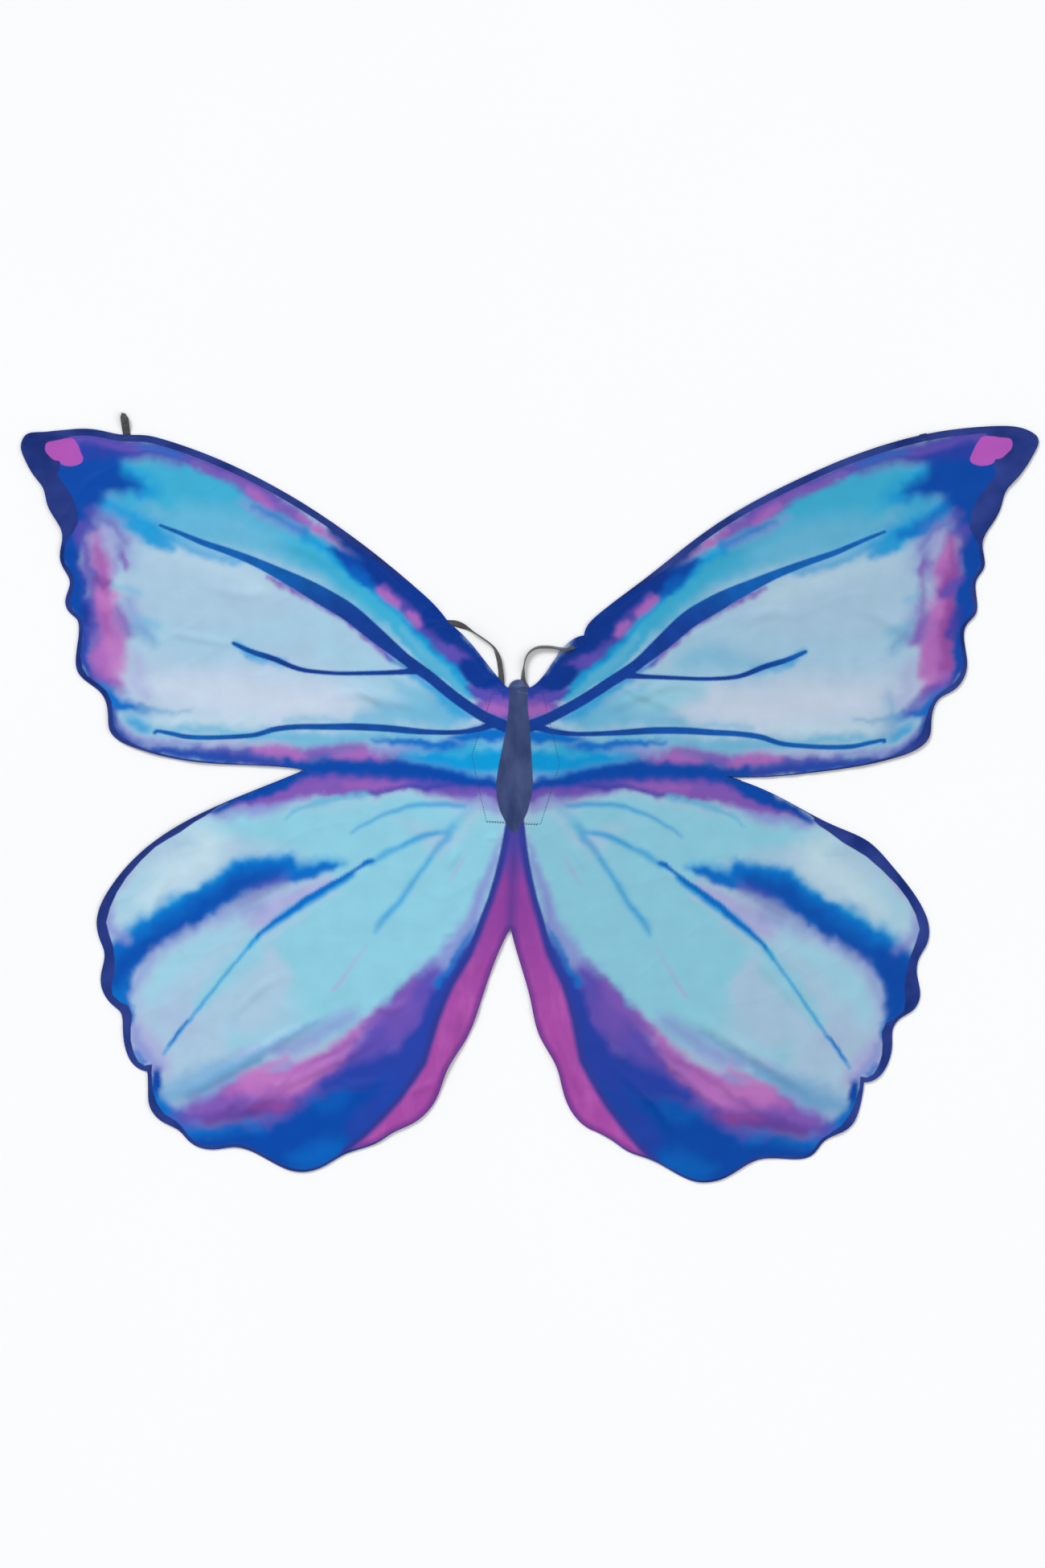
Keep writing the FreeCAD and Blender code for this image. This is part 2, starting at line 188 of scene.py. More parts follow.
# Creases and soft ridges in the cloth: half width, and the path with its height along it
CREASE_SPREAD = 1.3        # a crease fades out at this share of its half width
CREASE_RISE = 1.2
CREASES = {
    "left": [
        (7, [(-466, 167, 0), (-430, 160, 1.6), (-390, 152, 1.4), (-354, 146, 0)]),
        (9, [(-256, 78, 0), (-200, 84, 2.0), (-150, 72, 1.8), (-110, 60, 0)]),
        (8, [(-230, 110, 0), (-190, 80, 2.2), (-158, 62, 0)]),
        (9, [(-420, 230, 0), (-360, 215, 1.4), (-300, 218, 0)]),
        (10, [(-330, 290, 0), (-270, 270, 1.8), (-220, 240, 0)]),
        (10, [(-259, -346, 0), (-296, -361, 2.6), (-346, -390, 3.2), (-429, -434, 2.4), (-469, -441, 0)]),
        (9, [(-176, -357, 0), (-202, -376, 3.0), (-241, -397, 3.4), (-296, -423, 3.0), (-346, -455, 2.4),
             (-379, -473, 0)]),
        (8, [(-158, -419, 0), (-205, -426, 2.2), (-238, -423, 0)]),
        (10, [(-70, -310, 0), (-80, -345, 3.0), (-97, -401, 3.2), (-118, -452, 0)]),
        (7, [(-97, -420, 0), (-125, -430, 2.2), (-151, -443, 0)]),
        (7, [(-122, -307, 0), (-165, -328, 2.2), (-191, -317, 0)]),
        (5, [(-70, -220, 0), (-88, -228, 1.2), (-104, -226, 0)]),
        (5, [(-72, -234, 0), (-90, -243, 1.2), (-106, -242, 0)]),
        (5, [(-17, -108, 0), (-30, -104, 1.4), (-44, -106, 0)]),
        (7, [(-92, -148, 0), (-82, -130, 2.0), (-74, -112, 0)]),
        (8, [(-300, -280, 0), (-340, -305, 1.6), (-385, -350, 0)]),
        (9, [(-440, -130, 0), (-470, -180, 1.5), (-480, -230, 0)]),
    ],
    "right": [
        (9, [(110, 60, 0), (150, 76, 2.2), (200, 96, 2.0), (250, 92, 0)]),
        (8, [(120, 100, 0), (160, 84, 2.4), (215, 60, 0)]),
        (9, [(280, 170, 0), (330, 190, 1.6), (380, 186, 0)]),
        (10, [(220, 240, 0), (270, 268, 1.8), (330, 290, 0)]),
        (9, [(430, 200, 0), (480, 180, 1.6), (530, 150, 0)]),
        (10, [(220, -330, 0), (270, -360, 2.8), (330, -400, 3.2), (400, -450, 0)]),
        (9, [(150, -350, 0), (190, -390, 3.2), (240, -430, 3.4), (300, -480, 0)]),
        (8, [(120, -400, 0), (170, -440, 2.6), (210, -490, 0)]),
        (10, [(45, -320, 0), (60, -370, 3.0), (80, -420, 3.2), (110, -470, 0)]),
        (7, [(70, -400, 0), (95, -425, 2.0), (125, -440, 0)]),
        (7, [(74, -112, 0), (82, -130, 1.8), (92, -148, 0)]),
        (8, [(300, -250, 0), (340, -290, 1.6), (380, -340, 0)]),
        (9, [(430, -140, 0), (460, -190, 1.5), (470, -240, 0)]),
    ],
}

# Colours of the inked shapes and of the other materials
VEIN_COLOUR = (8, 92, 172)
FORK_COLOUR = (14, 60, 146)
TAIL_COLOUR = (166, 74, 164)
# painted highlight: the lighter magenta given to the tail panel's folds
TAIL_FOLD_HIGHLIGHT = (196, 104, 188)
TAIL_TOP_COLOUR = (78, 74, 172)
TAIL_UPPER_COLOUR = (134, 60, 154)
TAIL_HEM_COLOUR = (98, 48, 138)
TAIL_EDGE_COLOUR = (46, 58, 148)
TAIL_SEAM_COLOUR = (70, 54, 140)
BORDER_DARK = (20, 44, 116)
# painted sheen: the paler navy laid in soft patches over the dark border
BORDER_PAINTED_SHEEN = (54, 72, 150)
HEXAGON_COLOUR = (176, 84, 182)
BODY_DARK = (46, 60, 104)
BODY_LIGHT = (72, 86, 128)
TAB_DARK = (62, 78, 122)
TAB_LIGHT = (82, 98, 142)
BACK_TINT = (196, 206, 226)
LINING_DARK = (168, 176, 196)
LINING_LIGHT = (196, 203, 218)
ELASTIC_DARK = (36, 36, 40)
ELASTIC_LIGHT = (88, 87, 90)
THREAD_DARK = (20, 30, 62)
THREAD_LIGHT = (44, 58, 104)

TAIL_DEEPENS = (-320, -200)   # heights between which the tail's magenta deepens
TAIL_TURNS = (-165, -112)     # and between which it turns to blue
TAIL_STRIPE = 9.0             # width of the blue stripe along its edge

# Weave of the satin, as noise: size, detail, stretch
WEAVE = (0.55, 1.0, (0.12, 1, 1))

# Stage, in metres except for the place that the camera looks at
FLOOR_REACH = 40.0
CAMERA_CENTRE = (7.35, -33.6)
CAMERA_HEIGHT = 3.5
VIEW_HEIGHT = 2.0475       # of the floor that the view takes in
SENSOR = 36                # millimetres
CAMERA_LENS = SENSOR * CAMERA_HEIGHT / VIEW_HEIGHT
SKY = (0.95, 0.97, 1.0)
PAPER = ((0.97, 0.97, 0.97), (0.99, 0.99, 0.985))
KEY_LIGHT = ((-0.55, 0.75, 0.9), 1.8, 25)    # direction, strength, angle across it
FILL_LIGHT = ((0.8, -0.2, 0.9), 0.8, 50)
AMBIENT = 0.42

PALETTE = {
    "ice": (170, 202, 225), "lilac": (203, 216, 235), "cyan": (62, 176, 214), "sky": (112, 186, 220),
    "pale": (160, 208, 230), "aqua": (143, 207, 227), "frost": (196, 223, 236),
    "azure": (0, 156, 220), "cobalt": (0, 112, 203), "royal": (0, 74, 172), "deep": (2, 55, 148),
    "indigo": (38, 66, 170), "violet": (96, 80, 182), "purple": (131, 90, 184),
    "magenta": (180, 108, 192), "pink": (198, 124, 198), "lavender": (138, 150, 213),
    "mist": (172, 178, 222), "plum": (104, 62, 150), "fuchsia": (152, 76, 162),
    "glacier": (158, 212, 232), "steel": (112, 166, 210),
}

# How far the washes' edges bleed, by the size of the bleeds: reach, size, seed
BLEED = [(4.0, 46, 11), (2.6, 12, 18)]
LINE_BLEED = 0.3           # the thin lines bleed this much as far

# Soft washes, in the order they are laid: colour, softness of the edge, strength, and the
# brush's path as (outwards, up, half width) in millimetres on the left wing.
WASHES = [
    # forewing ground
    ("lilac", 70, 1.0, [(505, 95, 10), (440, 88, 24), (360, 78, 32), (280, 74, 32), (225, 78, 20)]),
    ("pale", 50, 0.55, [(240, 140, 24), (180, 100, 30), (140, 85, 26)]),
    ("pale", 60, 0.55, [(480, 165, 10), (400, 150, 14), (330, 160, 14), (250, 185, 14)]),
    ("frost", 40, 0.5, [(470, 270, 8), (420, 262, 12), (370, 240, 12), (320, 215, 8)]),
    ("sky", 44, 1.0, [(480, 300, 14), (430, 300, 20), (370, 290, 22), (320, 275, 18), (280, 255, 12)]),
    ("cyan", 40, 1.0, [(530, 372, 20), (470, 362, 36), (430, 348, 46), (380, 335, 42), (340, 318, 32),
        (290, 288, 28), (240, 255, 30), (200, 222, 28), (165, 190, 24), (140, 165, 14)]),
    ("sky", 40, 0.75, [(430, 316, 14), (380, 308, 18), (350, 298, 14), (316, 284, 10)]),
    ("sky", 30, 0.7, [(176, 64, 6), (144, 62, 12), (114, 58, 14), (86, 52, 8)]),
    ("azure", 12, 0.85, [(136, 107, 3), (112, 91, 6), (94, 77, 7), (76, 63, 6), (56, 51, 4)]),
    ("azure", 12, 0.75, [(366, 146, 4), (350, 136, 6), (330, 128, 6), (306, 122, 4)]),
    ("azure", 12, 0.6, [(448, 288, 3), (420, 276, 5), (390, 264, 5), (360, 254, 4)]),
    ("cyan", 26, 0.45, [(160, 98, 2), (140, 86, 12), (115, 74, 14), (90, 60, 12), (70, 50, 8)]),
    ("azure", 18, 0.35, [(118, 90, 3), (100, 74, 5), (82, 58, 6), (62, 48, 5)]),
    # outer tip of the forewing
    ("azure", 30, 0.95, [(556, 336, 16), (530, 326, 18), (502, 314, 16), (478, 300, 13), (455, 286, 9)]),
    ("azure", 26, 0.8, [(530, 396, 14), (512, 376, 14), (496, 358, 14), (480, 346, 12), (505, 340, 12)]),
    ("cyan", 22, 0.8, [(520, 346, 6), (500, 330, 9), (480, 322, 8)]),
    ("royal", 26, 1.0, [(604, 350, 40), (580, 362, 40), (555, 370, 38), (534, 366, 26), (512, 358, 14),
        (494, 352, 6)]),
    ("royal", 22, 1.0, [(580, 396, 22), (555, 392, 20), (530, 388, 14)]),
    ("royal", 22, 1.0, [(566, 340, 26), (570, 312, 22), (578, 288, 18), (586, 262, 10)]),
    ("royal", 12, 1.0, [(572, 308, 16), (577, 284, 14), (582, 260, 13), (577, 234, 14), (580, 210, 16),
        (568, 190, 14), (562, 165, 10), (563, 143, 8), (561, 119, 8), (551, 99, 8)]),
    ("indigo", 18, 1.0, [(590, 410, 12), (560, 405, 16), (530, 402, 14), (495, 400, 9), (458, 397, 6),
        (430, 389, 5)]),
    ("violet", 14, 1.0, [(582, 418, 6), (560, 415, 7), (525, 412, 8), (490, 408, 8), (455, 402, 7),
        (420, 391, 6), (385, 377, 6), (350, 361, 6), (315, 342, 6)]),
    ("indigo", 12, 0.5, [(560, 419, 4), (525, 418, 4), (490, 415, 4), (455, 409, 4), (420, 398, 4)]),
    ("violet", 20, 0.5, [(500, 395, 4), (470, 390, 4), (440, 384, 4)]),
    ("cobalt", 12, 0.8, [(490, 408, 4), (462, 402, 4), (440, 395, 3)]),
    # leading edge
    ("violet", 14, 0.8, [(440, 390, 2), (410, 380, 5), (380, 368, 7), (352, 352, 9), (325, 338, 9),
        (298, 322, 7), (276, 308, 5)]),
    ("purple", 10, 0.75, [(424, 385, 2), (398, 375, 4), (372, 364, 6), (346, 350, 7), (322, 337, 8),
        (300, 324, 6), (282, 313, 4)]),
    ("magenta", 12, 0.8, [(352, 350, 3), (336, 340, 6), (322, 330, 4)]),
    ("magenta", 12, 0.8, [(286, 318, 2), (270, 306, 5), (256, 296, 5)]),
    ("lavender", 18, 0.7, [(360, 334, 4), (338, 322, 7), (314, 310, 7), (290, 300, 7)]),
    ("cobalt", 14, 0.7, [(345, 330, 2), (324, 320, 5), (300, 306, 5), (278, 296, 6)]),
    ("magenta", 12, 0.75, [(262, 300, 5), (246, 289, 7), (230, 279, 5), (214, 269, 3)]),
    ("azure", 14, 0.9, [(280, 290, 3), (256, 278, 6), (240, 268, 7), (224, 254, 8), (208, 240, 8),
        (194, 226, 8), (178, 212, 7), (164, 200, 6)]),
    ("royal", 14, 1.0, [(240, 272, 3), (218, 260, 10), (202, 248, 14), (188, 238, 14), (172, 236, 14)]),
    ("deep", 14, 1.0, [(236, 298, 10), (208, 280, 14), (180, 258, 16), (150, 234, 16), (120, 208, 16),
        (96, 186, 14), (80, 162, 12)]),
    ("deep", 12, 1.0, [(190, 252, 8), (170, 238, 15), (152, 220, 16), (134, 204, 16), (118, 186, 17),
        (100, 168, 18), (82, 148, 18), (64, 124, 18), (46, 106, 16), (24, 94, 14)]),
    ("cobalt", 14, 0.6, [(214, 250, 4), (196, 234, 6), (180, 220, 5)]),
    ("royal", 14, 0.9, [(128, 170, 6), (114, 154, 8), (100, 138, 8), (84, 120, 7), (68, 104, 6)]),
    ("violet", 12, 0.8, [(116, 168, 3), (98, 148, 5), (84, 134, 5)]),
    ("violet", 12, 0.8, [(172, 222, 6), (154, 206, 9), (138, 192, 9), (124, 176, 6)]),
    ("magenta", 10, 0.9, [(174, 221, 4), (164, 211, 7), (153, 200, 5)]),
    ("magenta", 9, 0.85, [(138, 192, 4), (131, 184, 6), (125, 177, 4)]),
    ("violet", 12, 0.9, [(94, 146, 5), (82, 134, 9), (68, 126, 7)]),
    # pale band between the leading edge and the first vein
    ("azure", 12, 1.0, [(186, 210, 4), (160, 186, 10), (138, 163, 12), (119, 143, 12), (100, 122, 11),
        (82, 103, 9), (66, 88, 7)]),
    ("cyan", 10, 0.95, [(196, 218, 6), (170, 190, 8), (148, 166, 10), (128, 144, 11), (108, 122, 10),
        (90, 103, 8), (72, 87, 5)]),
    ("sky", 10, 0.55, [(150, 170, 4), (130, 148, 6), (108, 124, 6), (92, 106, 4), (78, 92, 3)]),
    # purple and blue fringes under the first vein
    ("purple", 9, 0.95, [(322, 235, 2), (290, 219, 5), (255, 200, 6), (220, 179, 6), (185, 150, 6),
        (160, 131, 4)]),
    ("cobalt", 8, 0.7, [(168, 137, 2), (154, 124, 4), (138, 116, 4), (124, 106, 3)]),
    # neck lobes
    ("deep", 8, 1.0, [(66, 118, 12), (50, 104, 12), (34, 96, 12), (16, 92, 12), (0, 90, 12)]),
    ("indigo", 10, 1.0, [(64, 92, 4), (50, 86, 10), (34, 82, 12), (16, 80, 14), (0, 80, 14)]),
    ("violet", 8, 0.9, [(62, 94, 4), (50, 88, 8), (38, 84, 8), (26, 78, 8)]),
    ("violet", 8, 1.0, [(62, 68, 5), (46, 60, 8), (26, 56, 10), (0, 54, 10)]),
    ("purple", 9, 1.0, [(52, 72, 4), (38, 67, 9), (22, 65, 12), (6, 64, 12)]),
    ("magenta", 9, 0.7, [(42, 64, 4), (30, 63, 7), (16, 62, 7)]),
    # outer margin of the forewing
    ("lavender", 30, 0.7, [(545, 312, 8), (525, 300, 12), (512, 280, 12), (508, 258, 8)]),
    ("violet", 18, 0.55, [(556, 318, 5), (536, 308, 7), (520, 296, 5), (510, 276, 3)]),
    ("violet", 14, 0.7, [(566, 304, 5), (548, 298, 6), (530, 282, 5), (516, 262, 4)]),
    ("lavender", 16, 0.8, [(542, 286, 7), (530, 268, 8), (524, 250, 6)]),
    ("mist", 14, 0.8, [(538, 294, 6), (530, 280, 7), (527, 266, 5)]),
    ("azure", 14, 0.85, [(506, 306, 5), (487, 291, 9), (466, 280, 8), (448, 273, 4)]),
    ("violet", 20, 0.9, [(566, 294, 5), (560, 270, 8), (556, 246, 12), (552, 220, 14), (548, 196, 14),
        (546, 170, 14), (545, 142, 14), (546, 118, 12), (536, 100, 8)]),
    ("magenta", 20, 0.9, [(549, 288, 5), (545, 269, 8), (539, 248, 11), (540, 222, 12), (537, 199, 13),
        (531, 178, 15), (528, 154, 16), (535, 129, 17), (534, 112, 15), (524, 98, 8)]),
    ("purple", 16, 0.8, [(520, 196, 6), (512, 178, 8), (508, 162, 7)]),
    ("plum", 12, 0.65, [(552, 236, 5), (543, 231, 5), (531, 231, 5)]),
    ("indigo", 12, 0.6, [(560, 205, 5), (556, 188, 7), (550, 176, 5)]),
    ("deep", 12, 0.8, [(566, 196, 4), (561, 186, 5), (560, 176, 4)]),
    ("fuchsia", 14, 0.5, [(546, 270, 5), (541, 252, 5), (534, 176, 6), (530, 160, 6)]),
    ("pink", 20, 0.85, [(544, 212, 8), (534, 202, 8), (522, 214, 5)]),
    ("pink", 24, 0.75, [(530, 152, 7), (524, 134, 10), (520, 116, 8)]),
    ("purple", 8, 0.75, [(514, 264, 3), (511, 256, 4), (510, 249, 3)]),
    ("lavender", 26, 0.75, [(506, 206, 6), (500, 190, 8), (490, 172, 8)]),
    ("steel", 20, 0.75, [(500, 172, 6), (486, 162, 9), (474, 154, 6)]),
    ("sky", 16, 0.6, [(496, 186, 4), (480, 178, 6), (468, 172, 4)]),
    ("sky", 14, 0.55, [(524, 226, 3), (506, 224, 6), (494, 216, 5)]),
    ("mist", 30, 0.8, [(500, 132, 5), (494, 116, 8), (500, 96, 8), (490, 84, 8)]),
    ("violet", 18, 0.6, [(548, 104, 5), (532, 92, 7), (516, 84, 5)]),
    ("cobalt", 12, 1.0, [(545, 94, 5), (534, 80, 9), (522, 70, 9), (506, 67, 6), (488, 65, 4)]),
    ("steel", 10, 0.8, [(494, 66, 4), (474, 62, 4), (450, 60, 2), (425, 61, 1)]),
    ("cobalt", 10, 1.0, [(530, 60, 5), (529, 44, 5), (522, 30, 6), (506, 18, 6)]),
    ("sky", 22, 0.8, [(510, 54, 4), (492, 48, 9), (474, 42, 8), (450, 36, 6)]),
    ("azure", 16, 0.75, [(502, 50, 5), (484, 43, 5)]),
    ("lavender", 14, 0.9, [(518, 44, 5), (508, 32, 7), (488, 25, 6), (465, 20, 6), (435, 18, 5),
        (410, 17, 4)]),
    # lower edge of the forewing
    ("frost", 24, 0.7, [(470, 50, 4), (430, 48, 7), (380, 46, 7), (330, 52, 5)]),
    ("sky", 18, 0.95, [(440, 36, 5), (380, 34, 6), (330, 28, 9), (280, 26, 10), (230, 27, 9),
        (180, 26, 8), (130, 26, 6)]),
    ("sky", 14, 0.6, [(300, 48, 4), (250, 50, 4), (200, 48, 4), (160, 44, 4)]),
    ("sky", 22, 0.8, [(210, 52, 5), (164, 54, 8), (124, 52, 10), (88, 50, 8)]),
    ("violet", 16, 0.9, [(420, 12, 3), (390, 8, 6), (360, 6, 8), (330, 5, 9), (300, 5, 9), (270, 6, 9),
        (240, 6, 9), (205, 6, 9), (180, 4, 6)]),
    ("mist", 12, 0.8, [(400, 18, 4), (350, 18, 4), (300, 18, 4)]),
    ("magenta", 14, 0.9, [(345, 10, 4), (322, 10, 7), (298, 8, 7), (276, 5, 5)]),
    ("purple", 14, 0.85, [(272, 10, 4), (248, 14, 6), (225, 17, 6), (205, 15, 5), (186, 12, 3)]),
    ("magenta", 14, 0.85, [(238, 3, 4), (212, 5, 7), (190, 6, 7), (172, 4, 4)]),
    ("lavender", 16, 0.85, [(186, 14, 4), (164, 11, 7), (144, 10, 6), (128, 12, 3)]),
    ("violet", 16, 0.6, [(190, 0, 5), (162, 0, 7), (138, 2, 5)]),
    ("indigo", 12, 0.9, [(410, 1, 3), (370, -5, 5), (330, -8, 6), (295, -8, 6)]),
    ("cobalt", 12, 1.0, [(495, 14, 4), (470, 8, 5), (440, 3, 5), (410, -1, 6), (380, -5, 5)]),
    ("indigo", 12, 0.85, [(526, 62, 4), (521, 34, 6), (497, 17, 7), (455, 7, 7), (412, 2, 8),
        (370, -3, 9), (335, -7, 8), (296, -9, 6)]),
    ("royal", 18, 1.0, [(300, -11, 5), (268, -11, 9), (230, -12, 11), (190, -12, 12), (150, -14, 11),
        (110, -20, 12), (76, -26, 10), (45, -30, 8), (18, -32, 7)]),
    ("indigo", 14, 0.6, [(300, -2, 4), (250, -3, 3), (200, -4, 3), (165, -6, 3)]),
    # beside the body
    ("azure", 20, 1.0, [(146, 4, 4), (124, 3, 9), (100, 3, 14), (78, 2, 18), (56, 2, 20), (30, 2, 20),
        (8, 2, 20)]),
    ("cobalt", 12, 0.9, [(160, 20, 3), (130, 19, 5), (106, 18, 6), (84, 19, 5), (66, 17, 2)]),
    ("cyan", 12, 0.7, [(96, 6, 2), (78, 9, 4), (58, 14, 5), (40, 16, 5)]),
    ("aqua", 12, 0.45, [(50, 17, 2), (34, 20, 5), (22, 20, 4)]),
    ("cobalt", 14, 0.8, [(150, -6, 5), (124, -10, 7), (102, -14, 7), (80, -18, 7), (56, -22, 6),
        (30, -24, 5)]),
    ("cobalt", 8, 0.9, [(184, 23, 2), (160, 22, 3), (130, 20, 4), (104, 20, 4), (84, 19, 3)]),
    ("sky", 8, 0.85, [(158, 28, 2), (134, 28, 4), (110, 28, 4), (90, 28, 3), (76, 28, 1)]),
    ("cobalt", 9, 1.0, [(84, 26, 2), (62, 27, 7), (42, 29, 9), (24, 30, 8), (12, 32, 7)]),
    # hindwing ground
    ("aqua", 34, 1.0, [(420, -95, 8), (360, -90, 16), (280, -95, 30), (200, -120, 60), (160, -190, 80),
        (220, -270, 90), (300, -310, 70), (340, -360, 40)]),
    ("aqua", 30, 1.0, [(40, -90, 20), (60, -140, 40), (90, -200, 50), (130, -260, 40)]),
    ("aqua", 24, 1.0, [(200, -64, 8), (160, -62, 14), (120, -70, 18), (84, -82, 14)]),
    ("frost", 50, 0.9, [(420, -95, 10), (400, -115, 22), (440, -145, 22), (475, -175, 22),
        (505, -200, 12)]),
    ("aqua", 44, 0.5, [(480, -155, 6), (510, -190, 12), (490, -205, 10)]),
    ("ice", 70, 0.85, [(440, -300, 30), (400, -290, 40), (360, -320, 40), (320, -340, 30)]),
    ("mist", 60, 0.35, [(460, -330, 16), (430, -355, 16)]),
    ("aqua", 24, 0.9, [(345, -240, 10), (368, -268, 14), (392, -296, 12), (415, -322, 8)]),
    ("ice", 22, 1.0, [(322, -258, 12), (318, -285, 26), (335, -312, 26), (350, -335, 18)]),
    # purple band across the top of the hindwing
    ("lavender", 20, 0.9, [(412, -70, 3), (384, -72, 7), (352, -66, 9), (320, -60, 10), (290, -52, 8)]),
    ("violet", 12, 1.0, [(376, -56, 4), (340, -44, 8), (300, -30, 14), (255, -26, 16), (205, -25, 16),
        (160, -26, 14), (120, -31, 14), (84, -36, 13), (52, -41, 12), (12, -46, 12)]),
    ("purple", 12, 1.0, [(376, -62, 4), (340, -52, 8), (300, -45, 12), (255, -39, 13), (205, -37, 11),
        (170, -36, 8), (140, -36, 4)]),
    ("purple", 14, 0.45, [(130, -40, 6), (100, -44, 8), (72, -48, 9), (44, -52, 10), (16, -56, 12)]),
    ("royal", 10, 1.0, [(300, -6, 5), (268, -11, 8), (230, -12, 10), (190, -13, 12), (150, -16, 12),
        (110, -21, 11), (76, -27, 9), (45, -32, 7), (12, -36, 6)]),
    ("violet", 14, 0.5, [(330, -38, 4), (290, -30, 4), (245, -26, 4), (180, -26, 4), (130, -32, 4),
        (90, -37, 4)]),
    ("magenta", 14, 0.4, [(225, -36, 5), (195, -36, 6), (150, -38, 5)]),
    ("lavender", 16, 0.7, [(66, -54, 5), (46, -58, 6), (30, -64, 6)]),
    ("royal", 12, 1.0, [(280, -15, 6), (306, -25, 9), (336, -38, 9), (366, -52, 8), (396, -66, 5)]),
    ("royal", 12, 1.0, [(258, -22, 3), (278, -22, 8), (300, -28, 10), (330, -38, 8)]),
    ("indigo", 7, 0.75, [(236, -52, 1.5), (200, -46, 2.5), (160, -40, 3), (120, -37, 3), (84, -37, 3)]),
    ("sky", 9, 0.9, [(300, -78, 1), (270, -62, 3), (236, -54, 4), (200, -48, 3)]),
    # royal band and blobs of the hindwing
    ("azure", 20, 1.0, [(296, -134, 12), (330, -138, 13), (366, -148, 13), (396, -166, 12),
        (420, -184, 11), (446, -193, 11), (472, -214, 12), (500, -226, 10)]),
    ("cobalt", 16, 1.0, [(296, -140, 14), (336, -150, 19), (370, -164, 19), (402, -186, 18),
        (434, -206, 19), (466, -226, 20), (500, -246, 22), (524, -272, 24), (520, -300, 20),
        (510, -322, 11)]),
    ("royal", 24, 0.85, [(308, -150, 10), (340, -160, 12), (370, -172, 12), (410, -196, 11),
        (440, -218, 12), (475, -240, 13), (510, -262, 14), (524, -290, 12)]),
    ("azure", 16, 0.8, [(226, -134, 4), (250, -136, 9), (276, -142, 10)]),
    ("cobalt", 12, 1.0, [(238, -137, 4), (256, -142, 8), (276, -148, 9), (296, -152, 8)]),
    ("violet", 20, 0.5, [(300, -158, 8), (325, -172, 12), (352, -188, 10), (388, -204, 5)]),
    ("mist", 18, 1.0, [(222, -157, 2), (246, -163, 5), (270, -172, 9), (298, -188, 12), (330, -208, 13),
        (345, -214, 9)]),
    ("mist", 26, 0.9, [(360, -208, 8), (392, -216, 7), (420, -228, 7), (452, -248, 8), (474, -270, 9),
        (488, -298, 8), (490, -322, 5)]),
    ("lavender", 18, 0.7, [(330, -196, 4), (395, -210, 4), (430, -226, 4), (460, -248, 5), (484, -276, 6),
        (498, -302, 5)]),
    ("lavender", 18, 0.8, [(532, -196, 6), (530, -222, 9), (512, -232, 6)]),
    ("mist", 14, 0.8, [(500, -142, 3), (520, -172, 5), (530, -196, 5)]),
    # lower outer margin of the hindwing
    ("glacier", 40, 0.9, [(478, -312, 12), (458, -284, 18), (430, -256, 18), (398, -236, 14),
        (368, -214, 8)]),
    ("mist", 24, 0.9, [(500, -345, 9), (492, -368, 14), (478, -386, 15), (462, -404, 8)]),
    ("lavender", 14, 0.8, [(503, -345, 4), (498, -370, 6), (486, -392, 7), (472, -402, 6)]),
    ("cobalt", 10, 1.0, [(508, -322, 9), (505, -338, 5)]),
    ("cobalt", 8, 0.8, [(500, -385, 3), (490, -398, 3)]),
    ("steel", 34, 0.9, [(466, -438, 10), (430, -430, 18), (395, -414, 16), (360, -398, 12)]),
    ("lavender", 24, 0.8, [(440, -462, 8), (410, -446, 12), (380, -428, 12)]),
    ("royal", 9, 1.0, [(474, -406, 5), (472, -424, 9), (472, -440, 5)]),
    ("cobalt", 16, 1.0, [(474, -440, 8), (464, -460, 11), (446, -472, 10), (428, -484, 10)]),
    ("mist", 22, 0.7, [(365, -384, 5), (345, -380, 8), (315, -382, 8), (290, -392, 8)]),
    ("steel", 14, 0.85, [(428, -438, 4), (390, -414, 6), (351, -391, 6), (322, -375, 5), (294, -361, 4),
        (262, -346, 2)]),
    # magenta and purple sweep low on the hindwing
    ("lavender", 30, 0.8, [(310, -380, 8), (280, -372, 10), (246, -352, 10), (215, -334, 8)]),
    ("cobalt", 22, 1.0, [(462, -452, 8), (440, -476, 12), (408, -486, 14), (370, -488, 16),
        (325, -486, 18), (280, -476, 18), (240, -462, 18)]),
    ("violet", 22, 1.0, [(104, -272, 8), (118, -310, 16), (130, -345, 20), (144, -380, 22),
        (166, -410, 20)]),
    ("royal", 24, 1.0, [(280, -450, 16), (244, -440, 20), (208, -428, 22), (178, -404, 20)]),
    ("violet", 26, 1.0, [(440, -470, 8), (412, -462, 14), (384, -458, 18), (350, -456, 20),
        (310, -452, 20), (270, -444, 20), (236, -426, 18), (206, -400, 16), (186, -370, 14)]),
    ("purple", 22, 1.0, [(424, -456, 6), (398, -452, 12), (370, -440, 16), (346, -428, 16),
        (316, -436, 18), (284, -432, 18), (256, -418, 16), (230, -400, 12), (206, -374, 10)]),
    ("magenta", 22, 1.0, [(376, -436, 6), (352, -424, 14), (322, -424, 20), (294, -420, 20),
        (266, -406, 15), (240, -388, 11), (216, -366, 9), (194, -346, 7), (178, -330, 5)]),
    ("pink", 22, 0.75, [(362, -424, 6), (336, -418, 10), (308, -420, 10), (280, -410, 8),
        (256, -396, 6)]),
    ("lavender", 16, 0.8, [(340, -398, 4), (316, -402, 5), (296, -400, 4)]),
    ("plum", 20, 0.7, [(404, -468, 6), (380, -470, 9), (350, -464, 9), (318, -456, 8), (290, -458, 8)]),
    ("fuchsia", 16, 0.7, [(350, -452, 4), (325, -454, 7), (300, -456, 6)]),
    # painted shadow: a thin dark plum line beside a fold of the left hindwing, laid on both wings' print
    ("plum", 14, 0.4, [(400, -470, 3), (360, -455, 5), (329, -438, 5), (300, -420, 4), (266, -402, 5),
        (236, -386, 5), (212, -372, 4)]),
